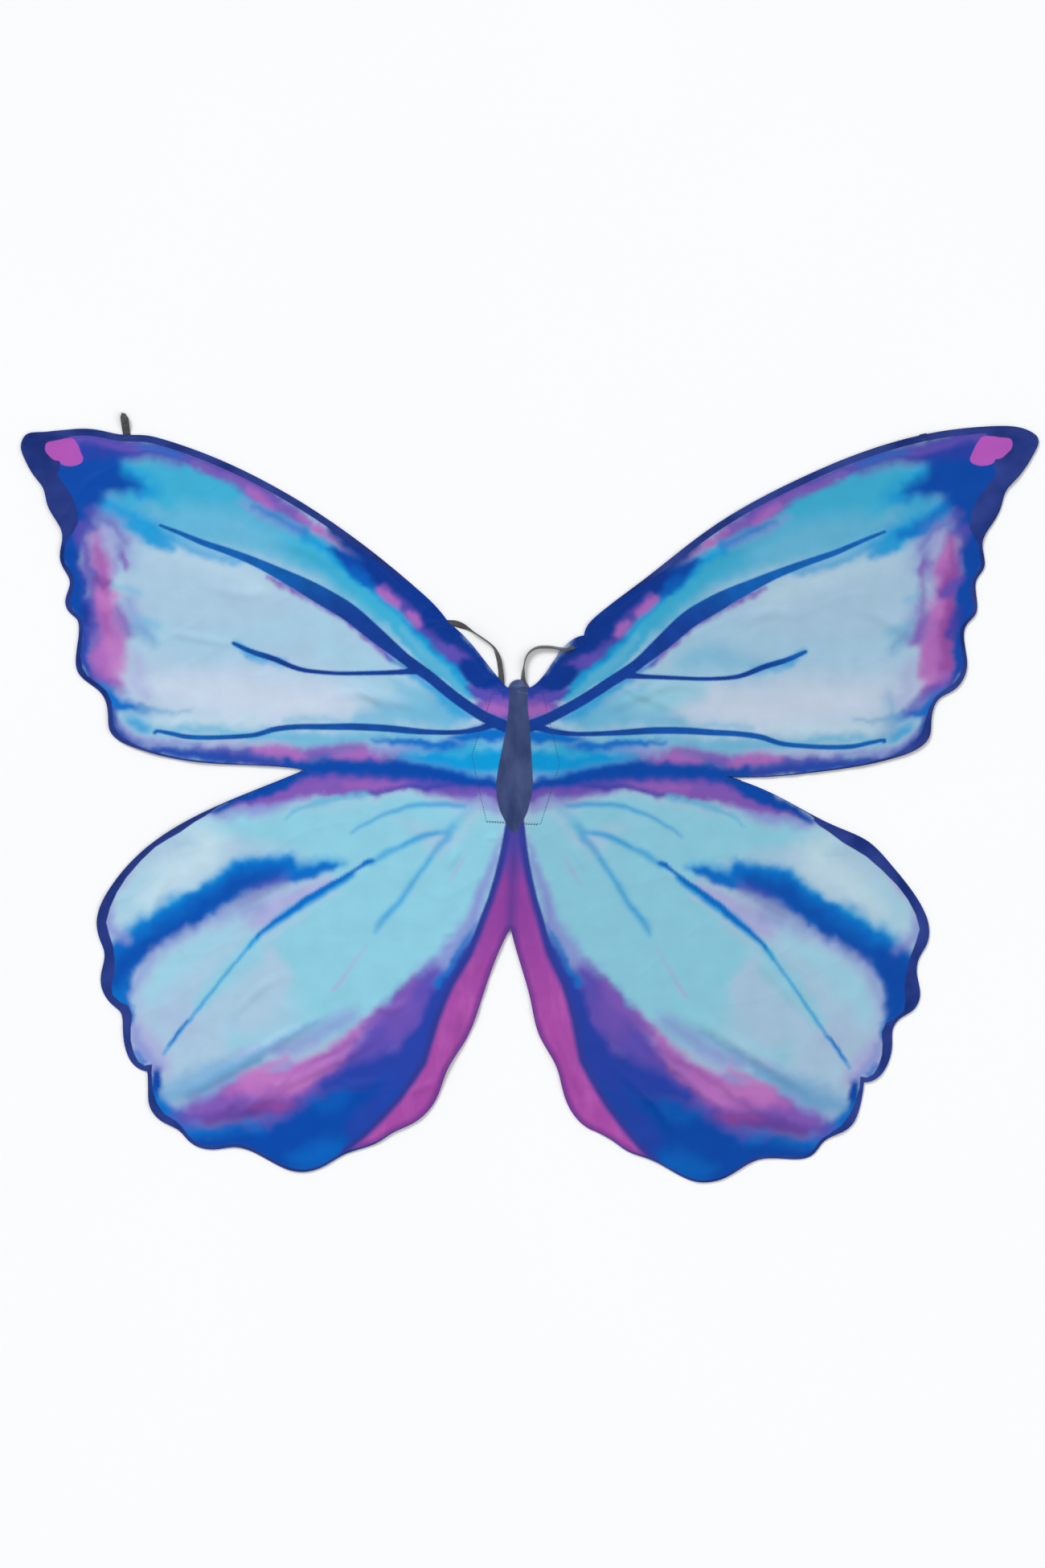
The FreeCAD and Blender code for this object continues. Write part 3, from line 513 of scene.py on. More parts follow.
    ("violet", 12, 0.7, [(350, -482, 4), (306, -470, 6), (266, -458, 6), (232, -442, 6), (202, -427, 6),
        (172, -408, 5)]),
    ("pink", 12, 0.7, [(364, -419, 3), (346, -410, 5), (328, -401, 5), (300, -392, 4)]),
    ("pink", 10, 0.6, [(300, -436, 3), (270, -424, 4), (240, -408, 3)]),
    # purple patch and blues low on the inner side
    ("lavender", 24, 0.9, [(132, -290, 6), (106, -276, 12), (84, -250, 13), (64, -220, 10),
        (48, -184, 6)]),
    ("indigo", 18, 1.0, [(56, -236, 4), (78, -278, 8), (102, -324, 13), (122, -368, 17), (146, -408, 18),
        (176, -442, 18)]),
    ("violet", 20, 1.0, [(210, -400, 14), (188, -378, 20), (166, -350, 24), (148, -324, 22),
        (128, -302, 15), (106, -282, 8)]),
    ("purple", 18, 0.9, [(196, -352, 5), (174, -332, 7), (152, -314, 7), (134, -292, 6)]),
    ("purple", 24, 0.4, [(160, -350, 12), (144, -326, 12)]),
    ("indigo", 22, 1.0, [(250, -430, 8), (216, -416, 16), (180, -408, 20), (150, -392, 16),
        (132, -362, 9)]),
    ("cobalt", 14, 1.0, [(448, -478, 6), (432, -492, 10), (410, -500, 10)]),
    ("royal", 26, 1.0, [(436, -500, 8), (402, -506, 16), (366, -508, 22), (330, -508, 30),
        (292, -502, 36), (254, -486, 44), (216, -472, 42), (184, -454, 34), (160, -430, 18)]),
    ("cobalt", 24, 0.4, [(262, -450, 6), (246, -454, 8), (228, -444, 6)]),
    ("royal", 20, 1.0, [(330, -520, 14), (290, -530, 18), (262, -530, 20), (230, -516, 16)]),
    ("cobalt", 30, 0.6, [(290, -525, 10), (262, -516, 16), (238, -504, 10)]),
    ("indigo", 20, 0.75, [(216, -484, 10), (196, -470, 14), (180, -450, 12), (160, -420, 10)]),
    ("cobalt", 18, 0.6, [(350, -474, 6), (340, -482, 7)]),
    ("indigo", 14, 1.0, [(40, -208, 3), (52, -232, 5), (68, -258, 6), (86, -284, 8), (104, -316, 9),
        (116, -344, 10), (126, -372, 10), (140, -396, 9), (158, -420, 9)]),
    ("cobalt", 11, 0.9, [(54, -216, 2), (70, -244, 3), (88, -272, 4), (104, -298, 5)]),
    ("lavender", 16, 0.9, [(22, -104, 3), (30, -128, 5), (38, -160, 7), (50, -192, 7), (62, -216, 5)]),
]

# Strokes that only the right wing has, and the painted shade that darkens each side's print
RIGHT_WASHES = [
    ("cobalt", 14, 0.8, [(540, 330, 6), (524, 316, 8), (506, 304, 8), (486, 296, 6)]),
    ("fuchsia", 18, 0.85, [(548, 292, 4), (549, 262, 8), (552, 236, 12), (550, 205, 12), (547, 180, 13),
        (544, 152, 12), (546, 126, 8)]),
    ("magenta", 16, 0.7, [(540, 274, 4), (536, 250, 6), (530, 206, 7), (524, 186, 6), (526, 140, 12),
        (518, 120, 8)]),
    ("purple", 14, 0.7, [(524, 262, 3), (514, 246, 4), (510, 176, 6), (502, 160, 6)]),
    ("royal", 14, 1.0, [(576, 300, 6), (570, 276, 8), (574, 250, 8), (572, 222, 11), (572, 196, 11),
        (564, 172, 9), (560, 146, 6), (560, 122, 5)]),
    ("violet", 12, 0.85, [(564, 238, 6), (552, 229, 9), (540, 226, 6)]),
    ("indigo", 12, 0.8, [(566, 204, 5), (556, 186, 8), (548, 172, 6)]),
    ("mist", 14, 0.6, [(530, 242, 5), (524, 228, 7), (528, 214, 5)]),
    ("pink", 16, 0.6, [(544, 278, 4), (540, 262, 5)]),
    ("pink", 18, 0.6, [(540, 214, 5), (534, 200, 6)]),
    ("violet", 18, 0.7, [(534, 100, 6), (518, 84, 7), (500, 70, 5)]),
    ("steel", 26, 0.6, [(470, 90, 6), (480, 60, 10), (470, 40, 8)]),
    ("royal", 22, 0.9, [(486, -234, 8), (510, -254, 18), (520, -284, 20), (514, -310, 12)]),
    ("sky", 40, 0.6, [(330, 130, 8), (300, 128, 14), (250, 140, 18), (210, 130, 12)]),
    ("aqua", 30, 0.7, [(230, 96, 8), (190, 84, 14), (150, 70, 12)]),
]
# painted shade: each side's print darkened by a factor, the right wing more, as if lit from the left
PAINTED_SIDE_SHADE = {"left": 0.97, "right": 0.86}

# Thin lines of ink
VEINS = [
    [(466, 304, 1.8), (440, 294, 2.8), (409, 281, 3.8), (374, 269, 4.6), (339, 255, 5.8), (310, 241, 7.8),
        (282, 227, 10.0), (255, 212, 11.6), (220, 191, 11.6), (185, 162, 10.4), (150, 133, 7.6),
        (130, 118, 7.6), (112, 105, 7.2), (80, 79, 7.2), (46, 56, 7.2), (14, 41, 8.0)],
    [(370, 150, 2.4), (346, 139, 3.4), (318, 130, 3.6), (292, 119, 3.2), (272, 114, 2.8), (236, 111, 2.6),
        (200, 111, 2.8), (160, 112, 3.2), (130, 114, 4.5)],
    [(473, 33, 2.2), (469, 35.5, 2.2), (450, 32, 2.8), (430, 28, 3.0), (395, 27, 3.0), (345, 30, 3.0),
        (315, 38, 3.6), (285, 41, 3.6), (250, 41, 4.0), (210, 41, 4.6), (170, 39, 4.6), (140, 36, 4.2),
        (110, 34, 3.4), (76, 34, 3.2), (50, 38, 3.8), (30, 44, 5.0), (8, 42, 6.5)],
]
# Softer lines on the hindwing, written like the washes
SOFT_LINES = [
    ("sky", 5, 0.9, [(304, -80, 0.5), (280, -66, 1.5), (255, -56, 2.0), (230, -50, 2.0)]),
    ("azure", 7, 0.75, [(218, -97, 1.0), (195, -84, 2.0), (170, -72, 2.4), (145, -64, 2.6),
        (118, -60, 3.0), (90, -60, 3.5), (70, -62, 3)]),
    ("azure", 9, 0.7, [(192, -136, 3.5), (170, -123, 4), (150, -115, 3.5), (128, -104, 4),
        (108, -97, 3.5), (90, -95, 2.5)]),
    ("azure", 6, 0.5, [(150, -114, 1.5), (128, -103, 2), (105, -96, 2)]),
    ("azure", 10, 0.65, [(84, -88, 4), (92, -104, 5), (104, -118, 4), (114, -132, 3), (126, -148, 2.4),
        (140, -166, 3), (152, -184, 3.2), (166, -202, 4), (178, -216, 4), (184, -228, 1)]),
    ("azure", 7, 0.4, [(112, -130, 1.2), (126, -148, 1.4), (150, -182, 1.6), (172, -208, 2)]),
    ("sky", 14, 0.6, [(60, -66, 5), (76, -78, 6), (88, -94, 5)]),
    ("mist", 5, 0.75, [(196, -244, 0.8), (212, -266, 1.4), (228, -288, 2.2), (240, -302, 2.4)]),
    ("mist", 6, 0.6, [(66, -128, 1.0), (78, -146, 2.0), (90, -162, 1.0)]),
    ("azure", 5, 0.8, [(462, -386, 2.0), (452, -372, 2.6), (430, -344, 2.6), (404, -312, 2.4),
        (384, -286, 2.2), (356, -252, 2.2), (338, -232, 2.6)]),
    ("cobalt", 3.5, 1.0, [(456, -376, 1.2), (444, -360, 1.8), (430, -342, 1.2)]),
    ("azure", 7, 0.9, [(350, -246, 2), (330, -226, 4), (304, -206, 6), (272, -186, 6), (240, -168, 5),
        (214, -152, 3.5)]),
    ("cobalt", 3.5, 1.0, [(340, -234, 1.4), (320, -216, 2.4), (296, -200, 3.6), (270, -182, 4.2),
        (244, -166, 4.0), (222, -153, 3.2), (206, -142, 2.2), (196, -135, 3.4), (188, -132, 2.4)]),
]

# Crisp shapes: edges of the inked margins, the spot at the tip and the panel along the tail
TIP_EDGE = [
    (585, 410), (597, 387), (596, 378), (600, 371), (592, 359), (584, 348), (577, 335), (573, 320),
    (573, 306), (579, 295), (587, 284), (592, 270), (590, 254), (581, 243), (577, 230), (581, 214),
    (584, 204), (580, 194), (570, 184), (566, 171), (568, 148), (570, 134), (567, 118), (560, 107),
    (546, 97), (536, 88), (529, 74), (527, 56), (526, 42), (518, 30), (503, 20), (486, 12), (468, 8),
]
HIND_EDGE = [
    (398, -68), (406, -75), (420, -83), (440, -97), (456, -106), (472, -116), (491, -134), (510, -156),
    (522, -175), (531, -195), (536, -214), (532, -230), (527, -246), (525, -263), (525, -280),
    (529, -297), (528, -309), (518, -318), (507, -323), (502, -336), (504, -352), (504, -368),
    (500, -385), (494, -396), (486, -401), (476, -399), (477, -415), (475, -434), (470, -450),
    (460, -464), (445, -473), (437, -481), (429, -492), (419, -501), (405, -507), (388, -509),
]
HEXAGON = [(616, 403), (613, 412), (600, 415), (582, 418), (574, 411), (569, 399), (566, 390),
           (571, 384), (582, 381), (594, 383), (597, 388), (604, 389), (612, 396)]
TAIL_EDGE = [
    (-14, -74), (6, -75), (13, -78), (16, -90), (19, -108), (24, -132), (30, -156), (38, -182),
    (48, -208), (56, -230), (66, -254), (78, -274), (89, -292), (99, -314), (109, -340), (117, -366),
    (126, -396), (142, -420), (158, -442), (178, -464), (200, -486), (226, -508), (240, -530),
]

# Printed body: (height, half width), and the lines down the middle from the neck to the tail
BODY_HALF = [(96, 12.0), (80, 12.1), (66, 12.6), (40, 15.4), (16, 18.6), (-8, 21.8), (-32, 24.2),
             (-52, 22.6), (-70, 17.8), (-84, 11.0), (-93, 5.5), (-98, 0.5)]
SEAM = [(2, 92), (0, 0), (-3, -97), (-8, -220)]
BODY_MIDDLE = [(2, 92), (1.5, 40), (-2.5, -20), (-4, -60), (-3.6, -98)]

# Where a point of the right side lies on the left one: right (x, y), left (outwards, up)
LANDMARKS = [
    ((2, 92), (-2, 92)), ((0, 0), (0, 0)), ((-3, -97), (3, -97)), ((-8, -220), (8, -220)),
    ((18, 92), (13, 92)), ((88, 160), (89, 176)), ((680, 417), (646, 410)), ((275, -24), (276, -15)),
    ((481, 296), (466, 304)), ((377, 138), (370, 149)), ((480, 22), (472, 34)), ((143, 107), (131, 113)),
    ((23, 42), (28, 45)), ((609, 248), (595, 256)), ((587, 121), (575, 131)), ((543, 66), (535, 74)),
    ((490, 0), (498, 14)), ((538, -223), (548, -215)), ((522, -278), (538, -262)),
    ((491, -353), (517, -331)), ((453, -423), (482, -408)), ((363, -524), (392, -510)),
    ((244, -553), (287, -539)), ((168, -519), (206, -502)), ((433, -401), (459, -382)),
    ((187, -133), (189, -130)), ((296, -131), (305, -122)), ((52, -402), (92, -408)),
    ((19, -318), (49, -322)), ((322, 340), (334, 363)), ((165, 232), (166, 244)),
    ((472, 406), (459, 415)), ((434, -482), (472, -467)), ((120, -15), (120, -15)),
]

# Stretch of the print, as a soft brush path, where the veins' ink is darker
FORK = [(330, 90, 50), (240, 130, 90), (150, 110, 80), (60, 60, 60), (0, 42, 40)]
FORK_SOFTNESS = 90

# Dark border: (outwards, up, width) along the outline
BORDER_WIDTH = [
    (128, 214, 0), (170, 244, 5), (210, 274, 8.5), (280, 320, 8.5), (571, 425, 8.5), (640, 425, 9),
    (650, 400, 7), (612, 335, 5), (590, 255, 4.5), (588, 190, 4.5), (571, 110, 4), (533, 56, 4),
    (498, 14, 3), (364, -8, 1), (276, -15, 0.5), (340, -42, 0.5), (388, -64, 1), (400, -70, 4),
    (531, -170, 5), (548, -215, 5), (543, -288, 5), (514, -348, 5), (490, -405, 5), (472, -467, 4.5),
    (392, -510, 4), (287, -539, 3), (224, -516, 2.5), (150, -483, 0.5), (106, -445, 0), (66, -365, 0),
    (30, -280, 0), (8, -220, 0),
]


def to_linear(rgb):
    """A colour given in steps of 255 as the shader's linear light."""
    c = np.array(rgb, float) / 255
    return np.where(c <= 0.04045, c / 12.92, ((c + 0.055) / 1.055) ** 2.4)


def ease(t):
    """A soft step from 0 to 1."""
    t = np.clip(t, 0, 1)
    return t * t * (3 - 2 * t)


def closed(loop):
    """A loop with its first point again at its end."""
    return np.vstack([loop, loop[:1]])


def lifted(plan, z):
    """Points of the plane with a third value, the same for all or one each."""
    return np.column_stack([plan, np.broadcast_to(z, len(plan))])


def unit(vectors):
    """Each vector of the plane at length 1."""
    return vectors / np.maximum(np.hypot(*vectors.T), 1e-9)[:, None]


def left_of(directions):
    """Each direction turned a quarter to the left."""
    return np.stack([-directions[:, 1], directions[:, 0]], 1)


def run_along(points):
    """How far along the line each of its points is."""
    return np.concatenate([[0], np.cumsum(np.hypot(*np.diff(points, axis=0).T))])


def smooth_path(points, loops=False, pieces=6):
    """Points along a smooth curve through the given ones."""
    p = np.array(points, float)
    if loops:
        p = np.vstack([p[-1], p, p[:2]])
    else:
        p = np.vstack([2 * p[0] - p[1], p, 2 * p[-1] - p[-2]])
    u = np.linspace(0, 1, pieces, endpoint=False)[:, None]
    spans = []
    for a, b, c, d in zip(p, p[1:], p[2:], p[3:]):
        cubic = 3 * b - a - 3 * c + d
        square = 2 * a - 5 * b + 4 * c - d
        spans.append(0.5 * (2 * b + (c - a) * u + square * u**2 + cubic * u**3))
    return np.vstack(spans + [p[-2:-1]])


def path_distance(p, path, reach):
    """Distance from each point to a path, up to a reach, and the path's third value there."""
    low = path[:, :2].min(0) - reach
    high = path[:, :2].max(0) + reach
    near = np.where(np.all((p > low) & (p < high), axis=1))[0]
    q = p[near]
    best = np.full(len(q), float(reach))
    third = np.zeros(len(q))
    for a, b in zip(path, path[1:]):
        along = b[:2] - a[:2]
        t = np.clip(((q - a[:2]) @ along) / max(along @ along, 1e-9), 0, 1)
        d = np.hypot(*(q - a[:2] - t[:, None] * along).T)
        closer = d < best
        best[closer] = d[closer]
        third[closer] = (a[2] + t * (b[2] - a[2]))[closer]
    distance = np.full(len(p), float(reach))
    value = np.zeros(len(p))
    distance[near] = best
    value[near] = third
    return distance, value


def brush(p, points, softness):
    """How much of a brush stroke's colour lands on each point."""
    path = smooth_path(points)
    d, half_width = path_distance(p, path, path[:, 2].max() + softness)
    return ease(0.5 - (d - half_width) / softness)


def long_path_distance(p, path, reach, kept):
    """Distance from each point to the kept stretches of a long path, found block by block."""
    distance = np.full(len(p), float(reach))
    for start in range(0, len(path) - 1, RIM_BLOCK):
        block = slice(start, start + RIM_BLOCK + 1)
        part = lifted(path[block][kept[block]], 0)
        if len(part) > 1:
            distance = np.minimum(distance, path_distance(p, part, reach)[0])
    return distance


def line_field(p, paths):
    """Signed distance to the nearest of several brush paths, negative inside."""
    field = np.full(len(p), FAR)
    for points in paths:
        d, half_width = path_distance(p, smooth_path(points), FAR)
        field = np.minimum(field, d - half_width)
    return field


def inside(p, edges):
    """Whether each point lies inside the closed outline that the edges make."""
    result = np.zeros(len(p), bool)
    for (x0, y0), (x1, y1) in edges:
        if y0 == y1:
            continue
        row = (p[:, 1] >= min(y0, y1)) & (p[:, 1] < max(y0, y1))
        result ^= row & (p[:, 0] < x0 + (p[:, 1] - y0) * (x1 - x0) / (y1 - y0))
    return result


def shape_field(p, outline):
    """Signed distance to a closed outline, negative inside."""
    path = closed(np.array(outline, float)[:, :2])
    d, _ = path_distance(p, lifted(path, 0), FAR)
    return np.where(inside(p, zip(path, path[1:])), -d, d)


def lattice(cells, seed):
    """A repeatable value between -1 and 1 for each cell of a grid."""
    h = (cells[:, 0] * 374761393 + cells[:, 1] * 668265263 + seed * 1442695041) & 0xFFFFFFFF
    h = ((h ^ (h >> 13)) * 1274126177) & 0xFFFFFFFF
    return (h ^ (h >> 16)) / 2147483647.5 - 1


def noise(p, scale, seed, octaves=3):
    """Smooth repeatable noise around 0, its largest features of the given size."""
    total = np.zeros(len(p))
    for octave in range(octaves):
        size = 0.5**octave
        q = p / (scale * size)
        cell = np.floor(q).astype(np.int64)
        f = ease(q - cell)
        corners = ((0, 0), (1, 0), (0, 1), (1, 1))
        a, b, c, d = (lattice(cell + np.array(o), seed + octave) for o in corners)
        low = a + (b - a) * f[:, 0]
        high = c + (d - c) * f[:, 0]
        total += (low + (high - low) * f[:, 1]) * size
    return total


def wander(p, amount=1.0):
    """Moves points a little, so that washes bleed with uneven edges."""
    moved = p.copy()
    for axis in (0, 1):
        for reach, size, seed in BLEED:
            moved[:, axis] += amount * reach * noise(p, size, seed + axis)
    return moved


def thin_plate(pairs):
    """A smooth map of the plane that takes each pair's first point close to its second."""
    source = np.array([a for a, b in pairs], float)
    target = np.array([b for a, b in pairs], float)

    def kernel(p):
        r = np.hypot(*(p[:, None] - source[None]).transpose(2, 0, 1))
        return r * r * np.log(np.maximum(r, 1e-9))

    flat = np.hstack([np.ones((len(source), 1)), source])
    top = np.hstack([kernel(source) + PLATE_STIFFNESS * np.eye(len(source)), flat])
    system = np.vstack([top, np.hstack([flat.T, np.zeros((3, 3))])])
    weights = np.linalg.solve(system, np.vstack([target, np.zeros((3, 2))]))

    def move(p):
        return kernel(p) @ weights[:-3] + np.hstack([np.ones((len(p), 1)), p]) @ weights[-3:]

    return move


def centre_line(line, y):
    """Where a line that runs down the middle lies at given heights."""
    points = np.array(line[::-1], float)
    return np.interp(y, points[:, 1], points[:, 0])


def seam_x(y):
    """Where the centre seam lies at given heights."""
    return centre_line(SEAM, y)


def off_seam(xy):
    """Distance of each point from the centre seam."""
    return np.abs(xy[:, 0] - seam_x(xy[:, 1]))


def on_seam(xy, tolerance, clear_of_neck):
    """Which points lie on the centre seam, the ones close to the neck left out."""
    return (off_seam(xy) < tolerance) & (xy[:, 1] < SEAM[0][1] - clear_of_neck)


right_onto_left = thin_plate(LANDMARKS)


def print_place(xy, side):
    """Where points of a side's cloth lie on the print."""
    if side == "right":
        return right_onto_left(xy)
    return xy * (-1, 1)


# ---------------------------------------------------------------- outline of each side's cloth

def node_points(name):
    """A CAD node's vertices in millimetres."""
    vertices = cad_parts[name].data.vertices
    return np.array([v.co for v in vertices], float).reshape(-1, 3) / M


def upper_edges(name):
    """The boundary of a CAD node's upper face, as directed edges with the cloth on their left."""
    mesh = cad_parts[name].data
    points = node_points(name)
    top = points[:, 2].max()
    keys = [tuple(k) for k in np.round(points[:, :2], 2)]
    directed = set()
    for face in mesh.polygons:
        corners = list(face.vertices)
        if points[corners, 2].min() < top - LEVEL:
            continue
        ring = [keys[i] for i in corners]
        area = sum(a[0] * b[1] - b[0] * a[1] for a, b in zip(ring, ring[1:] + ring[:1]))
        if area < 0:
            ring.reverse()
        directed.update(e for e in zip(ring, ring[1:] + ring[:1]) if e[0] != e[1])
    return [e for e in directed if (e[1], e[0]) not in directed]


def chains(edges):
    """Joins directed edges end to end."""
    after = dict(edges)
    starts = sorted(set(after) - set(after.values())) or [min(after)]
    found = []
    for start in starts:
        chain = [start]
        while chain[-1] in after:
            chain.append(after.pop(chain[-1]))
        found.append(chain)
    return found


def side_outline(side):
    """The whole outline of one side, anticlockwise, at the mesh's spacing."""
    nodes = [side + part for part in ("_back_panel", "_forewing", "_hindwing")]
    if side == "right":
        nodes.append("right_loop_end")   # sits in a cut-out of the forewing
    edges = {name: upper_edges(name) for name in nodes}
    kept = []
    for name in nodes:
        a, b = (np.array([e[i] for e in edges[name]]) for i in (0, 1))
        beyond = (a + b) / 2 - left_of(unit(b - a)) * PARTING
        open_side = np.ones(len(a), bool)
        for other in nodes:
            if other != name:
                open_side &= ~inside(beyond, edges[other])
        kept += [e for e, keep in zip(edges[name], open_side) if keep]
    runs = sorted((c for c in chains(kept)), key=len, reverse=True)
    loop = runs.pop(0)
    while runs:
        end = np.array(loop[-1])
        nearest = min(runs, key=lambda c: float(np.hypot(*(np.array(c[0]) - end))))
        gap = float(np.hypot(*(np.array(nearest[0]) - end)))
        runs.remove(nearest)
        if gap < LARGEST_GAP:
            loop += nearest
    return evenly_spaced(np.array(loop))


def evenly_spaced(loop):
    """The loop with points at the mesh's spacing, and its corners kept."""
    loop = loop[np.hypot(*(np.roll(loop, -1, 0) - loop).T) > 1e-6]
    before = loop - np.roll(loop, CORNER_STEPS, 0)
    after = np.roll(loop, -CORNER_STEPS, 0) - loop
    cross = before[:, 0] * after[:, 1] - before[:, 1] * after[:, 0]
    turn = np.abs(np.arctan2(cross, (before * after).sum(1)))
    around = range(-CORNER_STEPS - 2, CORNER_STEPS + 3)
    peak = turn >= np.maximum.reduce([np.roll(turn, k) for k in around])
    corners = np.where(peak & (turn > CORNER))[0]
    loop = np.roll(loop, -corners[0], 0)
    corners = [*(corners - corners[0]), len(loop)]
    loop = closed(loop)
    points = []
    for start, end in zip(corners, corners[1:]):
        stretch = loop[start:end + 1]
        run = run_along(stretch)
        steps = max(1, round(run[-1] / SPACING))
        where = np.linspace(0, run[-1], steps, endpoint=False)
        points.append(np.stack([np.interp(where, run, stretch[:, k]) for k in (0, 1)], 1))
    return np.vstack(points)


def inward(loop):
    """The direction towards the cloth at each point of an anticlockwise loop."""
    return left_of(unit(np.roll(loop, -2, 0) - np.roll(loop, 2, 0)))


OUTLINES = {side: side_outline(side) for side in SIDES}


def rim_distance(xy, side):
    """Distance from each point to the edge of its side's cloth, the centre seam left out."""
    loop = closed(OUTLINES[side])
    return long_path_distance(xy, loop, RIM_REACH, ~on_seam(loop, tolerance=0.6, clear_of_neck=1))


# ---------------------------------------------------------------- the cloth's relief


def dent(distance, depth, half_width):
    """A rounded groove along a line."""
    return depth * np.exp(-(distance / half_width) ** 2)


def pucker(xy, distance, rise, size, seed, reach):
    """Small waves that die away from a line."""
    return rise * noise(xy, size, seed, 1) * np.exp(-distance / reach)


def gathers(xy):
    """Small gathers that radiate from where the shoulder elastics are sewn on."""
    z = np.zeros(len(xy))
    for (x, y), reach, count, rise in GATHERS:
        dx, dy = (xy - (x, y)).T
        r = np.hypot(dx, dy)
        angle = np.arctan2(dy, dx)
        fold = np.abs(np.sin(angle * count / 2 + 0.6 * np.sin(angle * 3)))
        z += rise * (1 - fold) * np.exp(-r / reach) * ease(r / 6)
    return z


def relief(xy, side):
    """Height of the cloth's middle above the floor."""
    z = np.full(len(xy), REST_HEIGHT)
    for rise, size, stretch, seed in WAVES:
        z += rise * noise(xy * stretch, size, seed, 2)
    wrinkle = noise(xy @ WRINKLE_FRAME * WRINKLE_STRETCH, WRINKLE_SIZE, WRINKLE_SEED, 2)
    z += WRINKLE_RISE * (1 - np.abs(wrinkle)) ** WRINKLE_SHARPNESS
    for half_width, path in CREASES[side]:
        spread = CREASE_SPREAD * half_width
        d, rise = path_distance(xy, smooth_path(path), spread)
        z += CREASE_RISE * rise * (1 - ease(d / spread))
    rim = rim_distance(xy, side)
    z += np.abs(pucker(xy, rim, *RIM_PUCKER))
    z += gathers(xy)
    yoke, _ = path_distance(xy, lifted(closed(YOKE), 0), YOKE_REACH)
    z -= dent(yoke, *YOKE_DENT)
    z += pucker(xy, yoke, *YOKE_PUCKER)
    depth, half_width = SEAM_DENT
    on_body = xy[:, 1] > BODY_HALF[-1][0]
    z -= dent(off_seam(xy), np.where(on_body, SEAM_DENT_ON_BODY, depth), half_width)
    hem = np.where(leading_side(xy, side), WIDE_HEM, NARROW_HEM)
    z += HEM_RISE * ease((hem - rim) / HEM_STEP)
    z -= dent(rim - hem, *HEM_DENT)
    z += pucker(xy, np.abs(rim - hem), *HEM_PUCKER)
    return np.maximum(z, LOWEST)


def leading_side(xy, side):
    """Whether points are nearer the neck and leading edges than the scalloped margins."""
    return xy[:, 1] > np.interp(xy[:, 0] * SIGN[side], *zip(*LEADING_LINE))


# ---------------------------------------------------------------- the print on a mesh

def wash_colours(p, side):
    """The soft colours of the print, darkened by each side's painted shade."""
    colour = np.tile(to_linear(PALETTE["ice"]), (len(p), 1))
    broad = WASHES + (RIGHT_WASHES if side == "right" else [])
    for strokes, moved in ((broad, wander(p)), (SOFT_LINES, wander(p, LINE_BLEED))):
        for name, softness, strength, path in strokes:
            share = brush(moved, path, softness) * strength
            colour += (to_linear(PALETTE[name]) - colour) * share[:, None]
    # painted shade: the whole print of a side made darker
    return colour * PAINTED_SIDE_SHADE[side]


def border_field(p, rim):
    """Signed distance to the dark border of the print, negative inside."""
    tip = TIP_EDGE + [(468, -40), (BEYOND, -40), (BEYOND, BEYOND), (590, BEYOND)]
    hind = HIND_EDGE + [(388, -BEYOND), (BEYOND, -BEYOND), (BEYOND, -60), (398, -40)]
    _, width = path_distance(p, np.array(BORDER_WIDTH, float), RIM_REACH)
    return np.minimum(np.minimum(shape_field(p, tip), shape_field(p, hind)), rim - width)


def put(mesh, name, values):
    """Stores values on a mesh's points for its material."""
    values = np.asarray(values, np.float32)
    if values.ndim == 1:
        mesh.attributes.new(name, "FLOAT", "POINT").data.foreach_set("value", values)
    elif name == "wash":
        colour = np.hstack([values, np.ones((len(values), 1), np.float32)])
        layer = mesh.attributes.new(name, "FLOAT_COLOR", "POINT")
        layer.data.foreach_set("color", colour.ravel())
    else:
        layer = mesh.attributes.new(name, "FLOAT_VECTOR", "POINT")
        layer.data.foreach_set("vector", values.ravel())


def put_weave(mesh, across, along):
    """Stores where each point lies in a woven band: the places across it, for each one along."""
    put(mesh, "weave", np.array([(a, run, 0) for run in along for a in across], float))


def print_onto(mesh, side):
    """Stores the print at a mesh's points: soft colours, and distances to each crisp shape."""
    co = np.zeros(len(mesh.vertices) * 3)
    mesh.vertices.foreach_get("co", co)
    xy = co.reshape(-1, 3)[:, :2] / M
    p = print_place(xy, side)
    rim = rim_distance(xy, side)
    tail = TAIL_EDGE + [(240, -BEYOND), (-40, -BEYOND), (-40, -74)]
    half = [(w, y) for y, w in BODY_HALF]
    body = half + [(-w, y) for w, y in half[::-1]]
    off_middle = np.abs(xy[:, 0] - centre_line(BODY_MIDDLE, xy[:, 1]))
    put(mesh, "wash", wash_colours(p, side))
    put(mesh, "vein", line_field(p, VEINS))
    put(mesh, "fork", brush(p, FORK, FORK_SOFTNESS))
    put(mesh, "border", border_field(p, rim))
    put(mesh, "hexagon", shape_field(p, smooth_path(HEXAGON, loops=True)))
    put(mesh, "tail", shape_field(p, tail))
    put(mesh, "body", shape_field(np.stack([off_middle, xy[:, 1]], 1), body))
    put(mesh, "seam", off_seam(xy))
    put(mesh, "rim", rim)
    put(mesh, "cloth", lifted(xy, 0))


# ---------------------------------------------------------------- meshes

def new_object(name, points, faces, material):
    """A mesh object from points in millimetres."""
    mesh = bpy.data.meshes.new(name)
    mesh.from_pydata([tuple(v) for v in np.asarray(points) * M], [], faces)
    mesh.update()
    mesh.shade_smooth()
    made = bpy.data.objects.new(name, mesh)
    bpy.context.scene.collection.objects.link(made)
    mesh.materials.append(material)
    return made


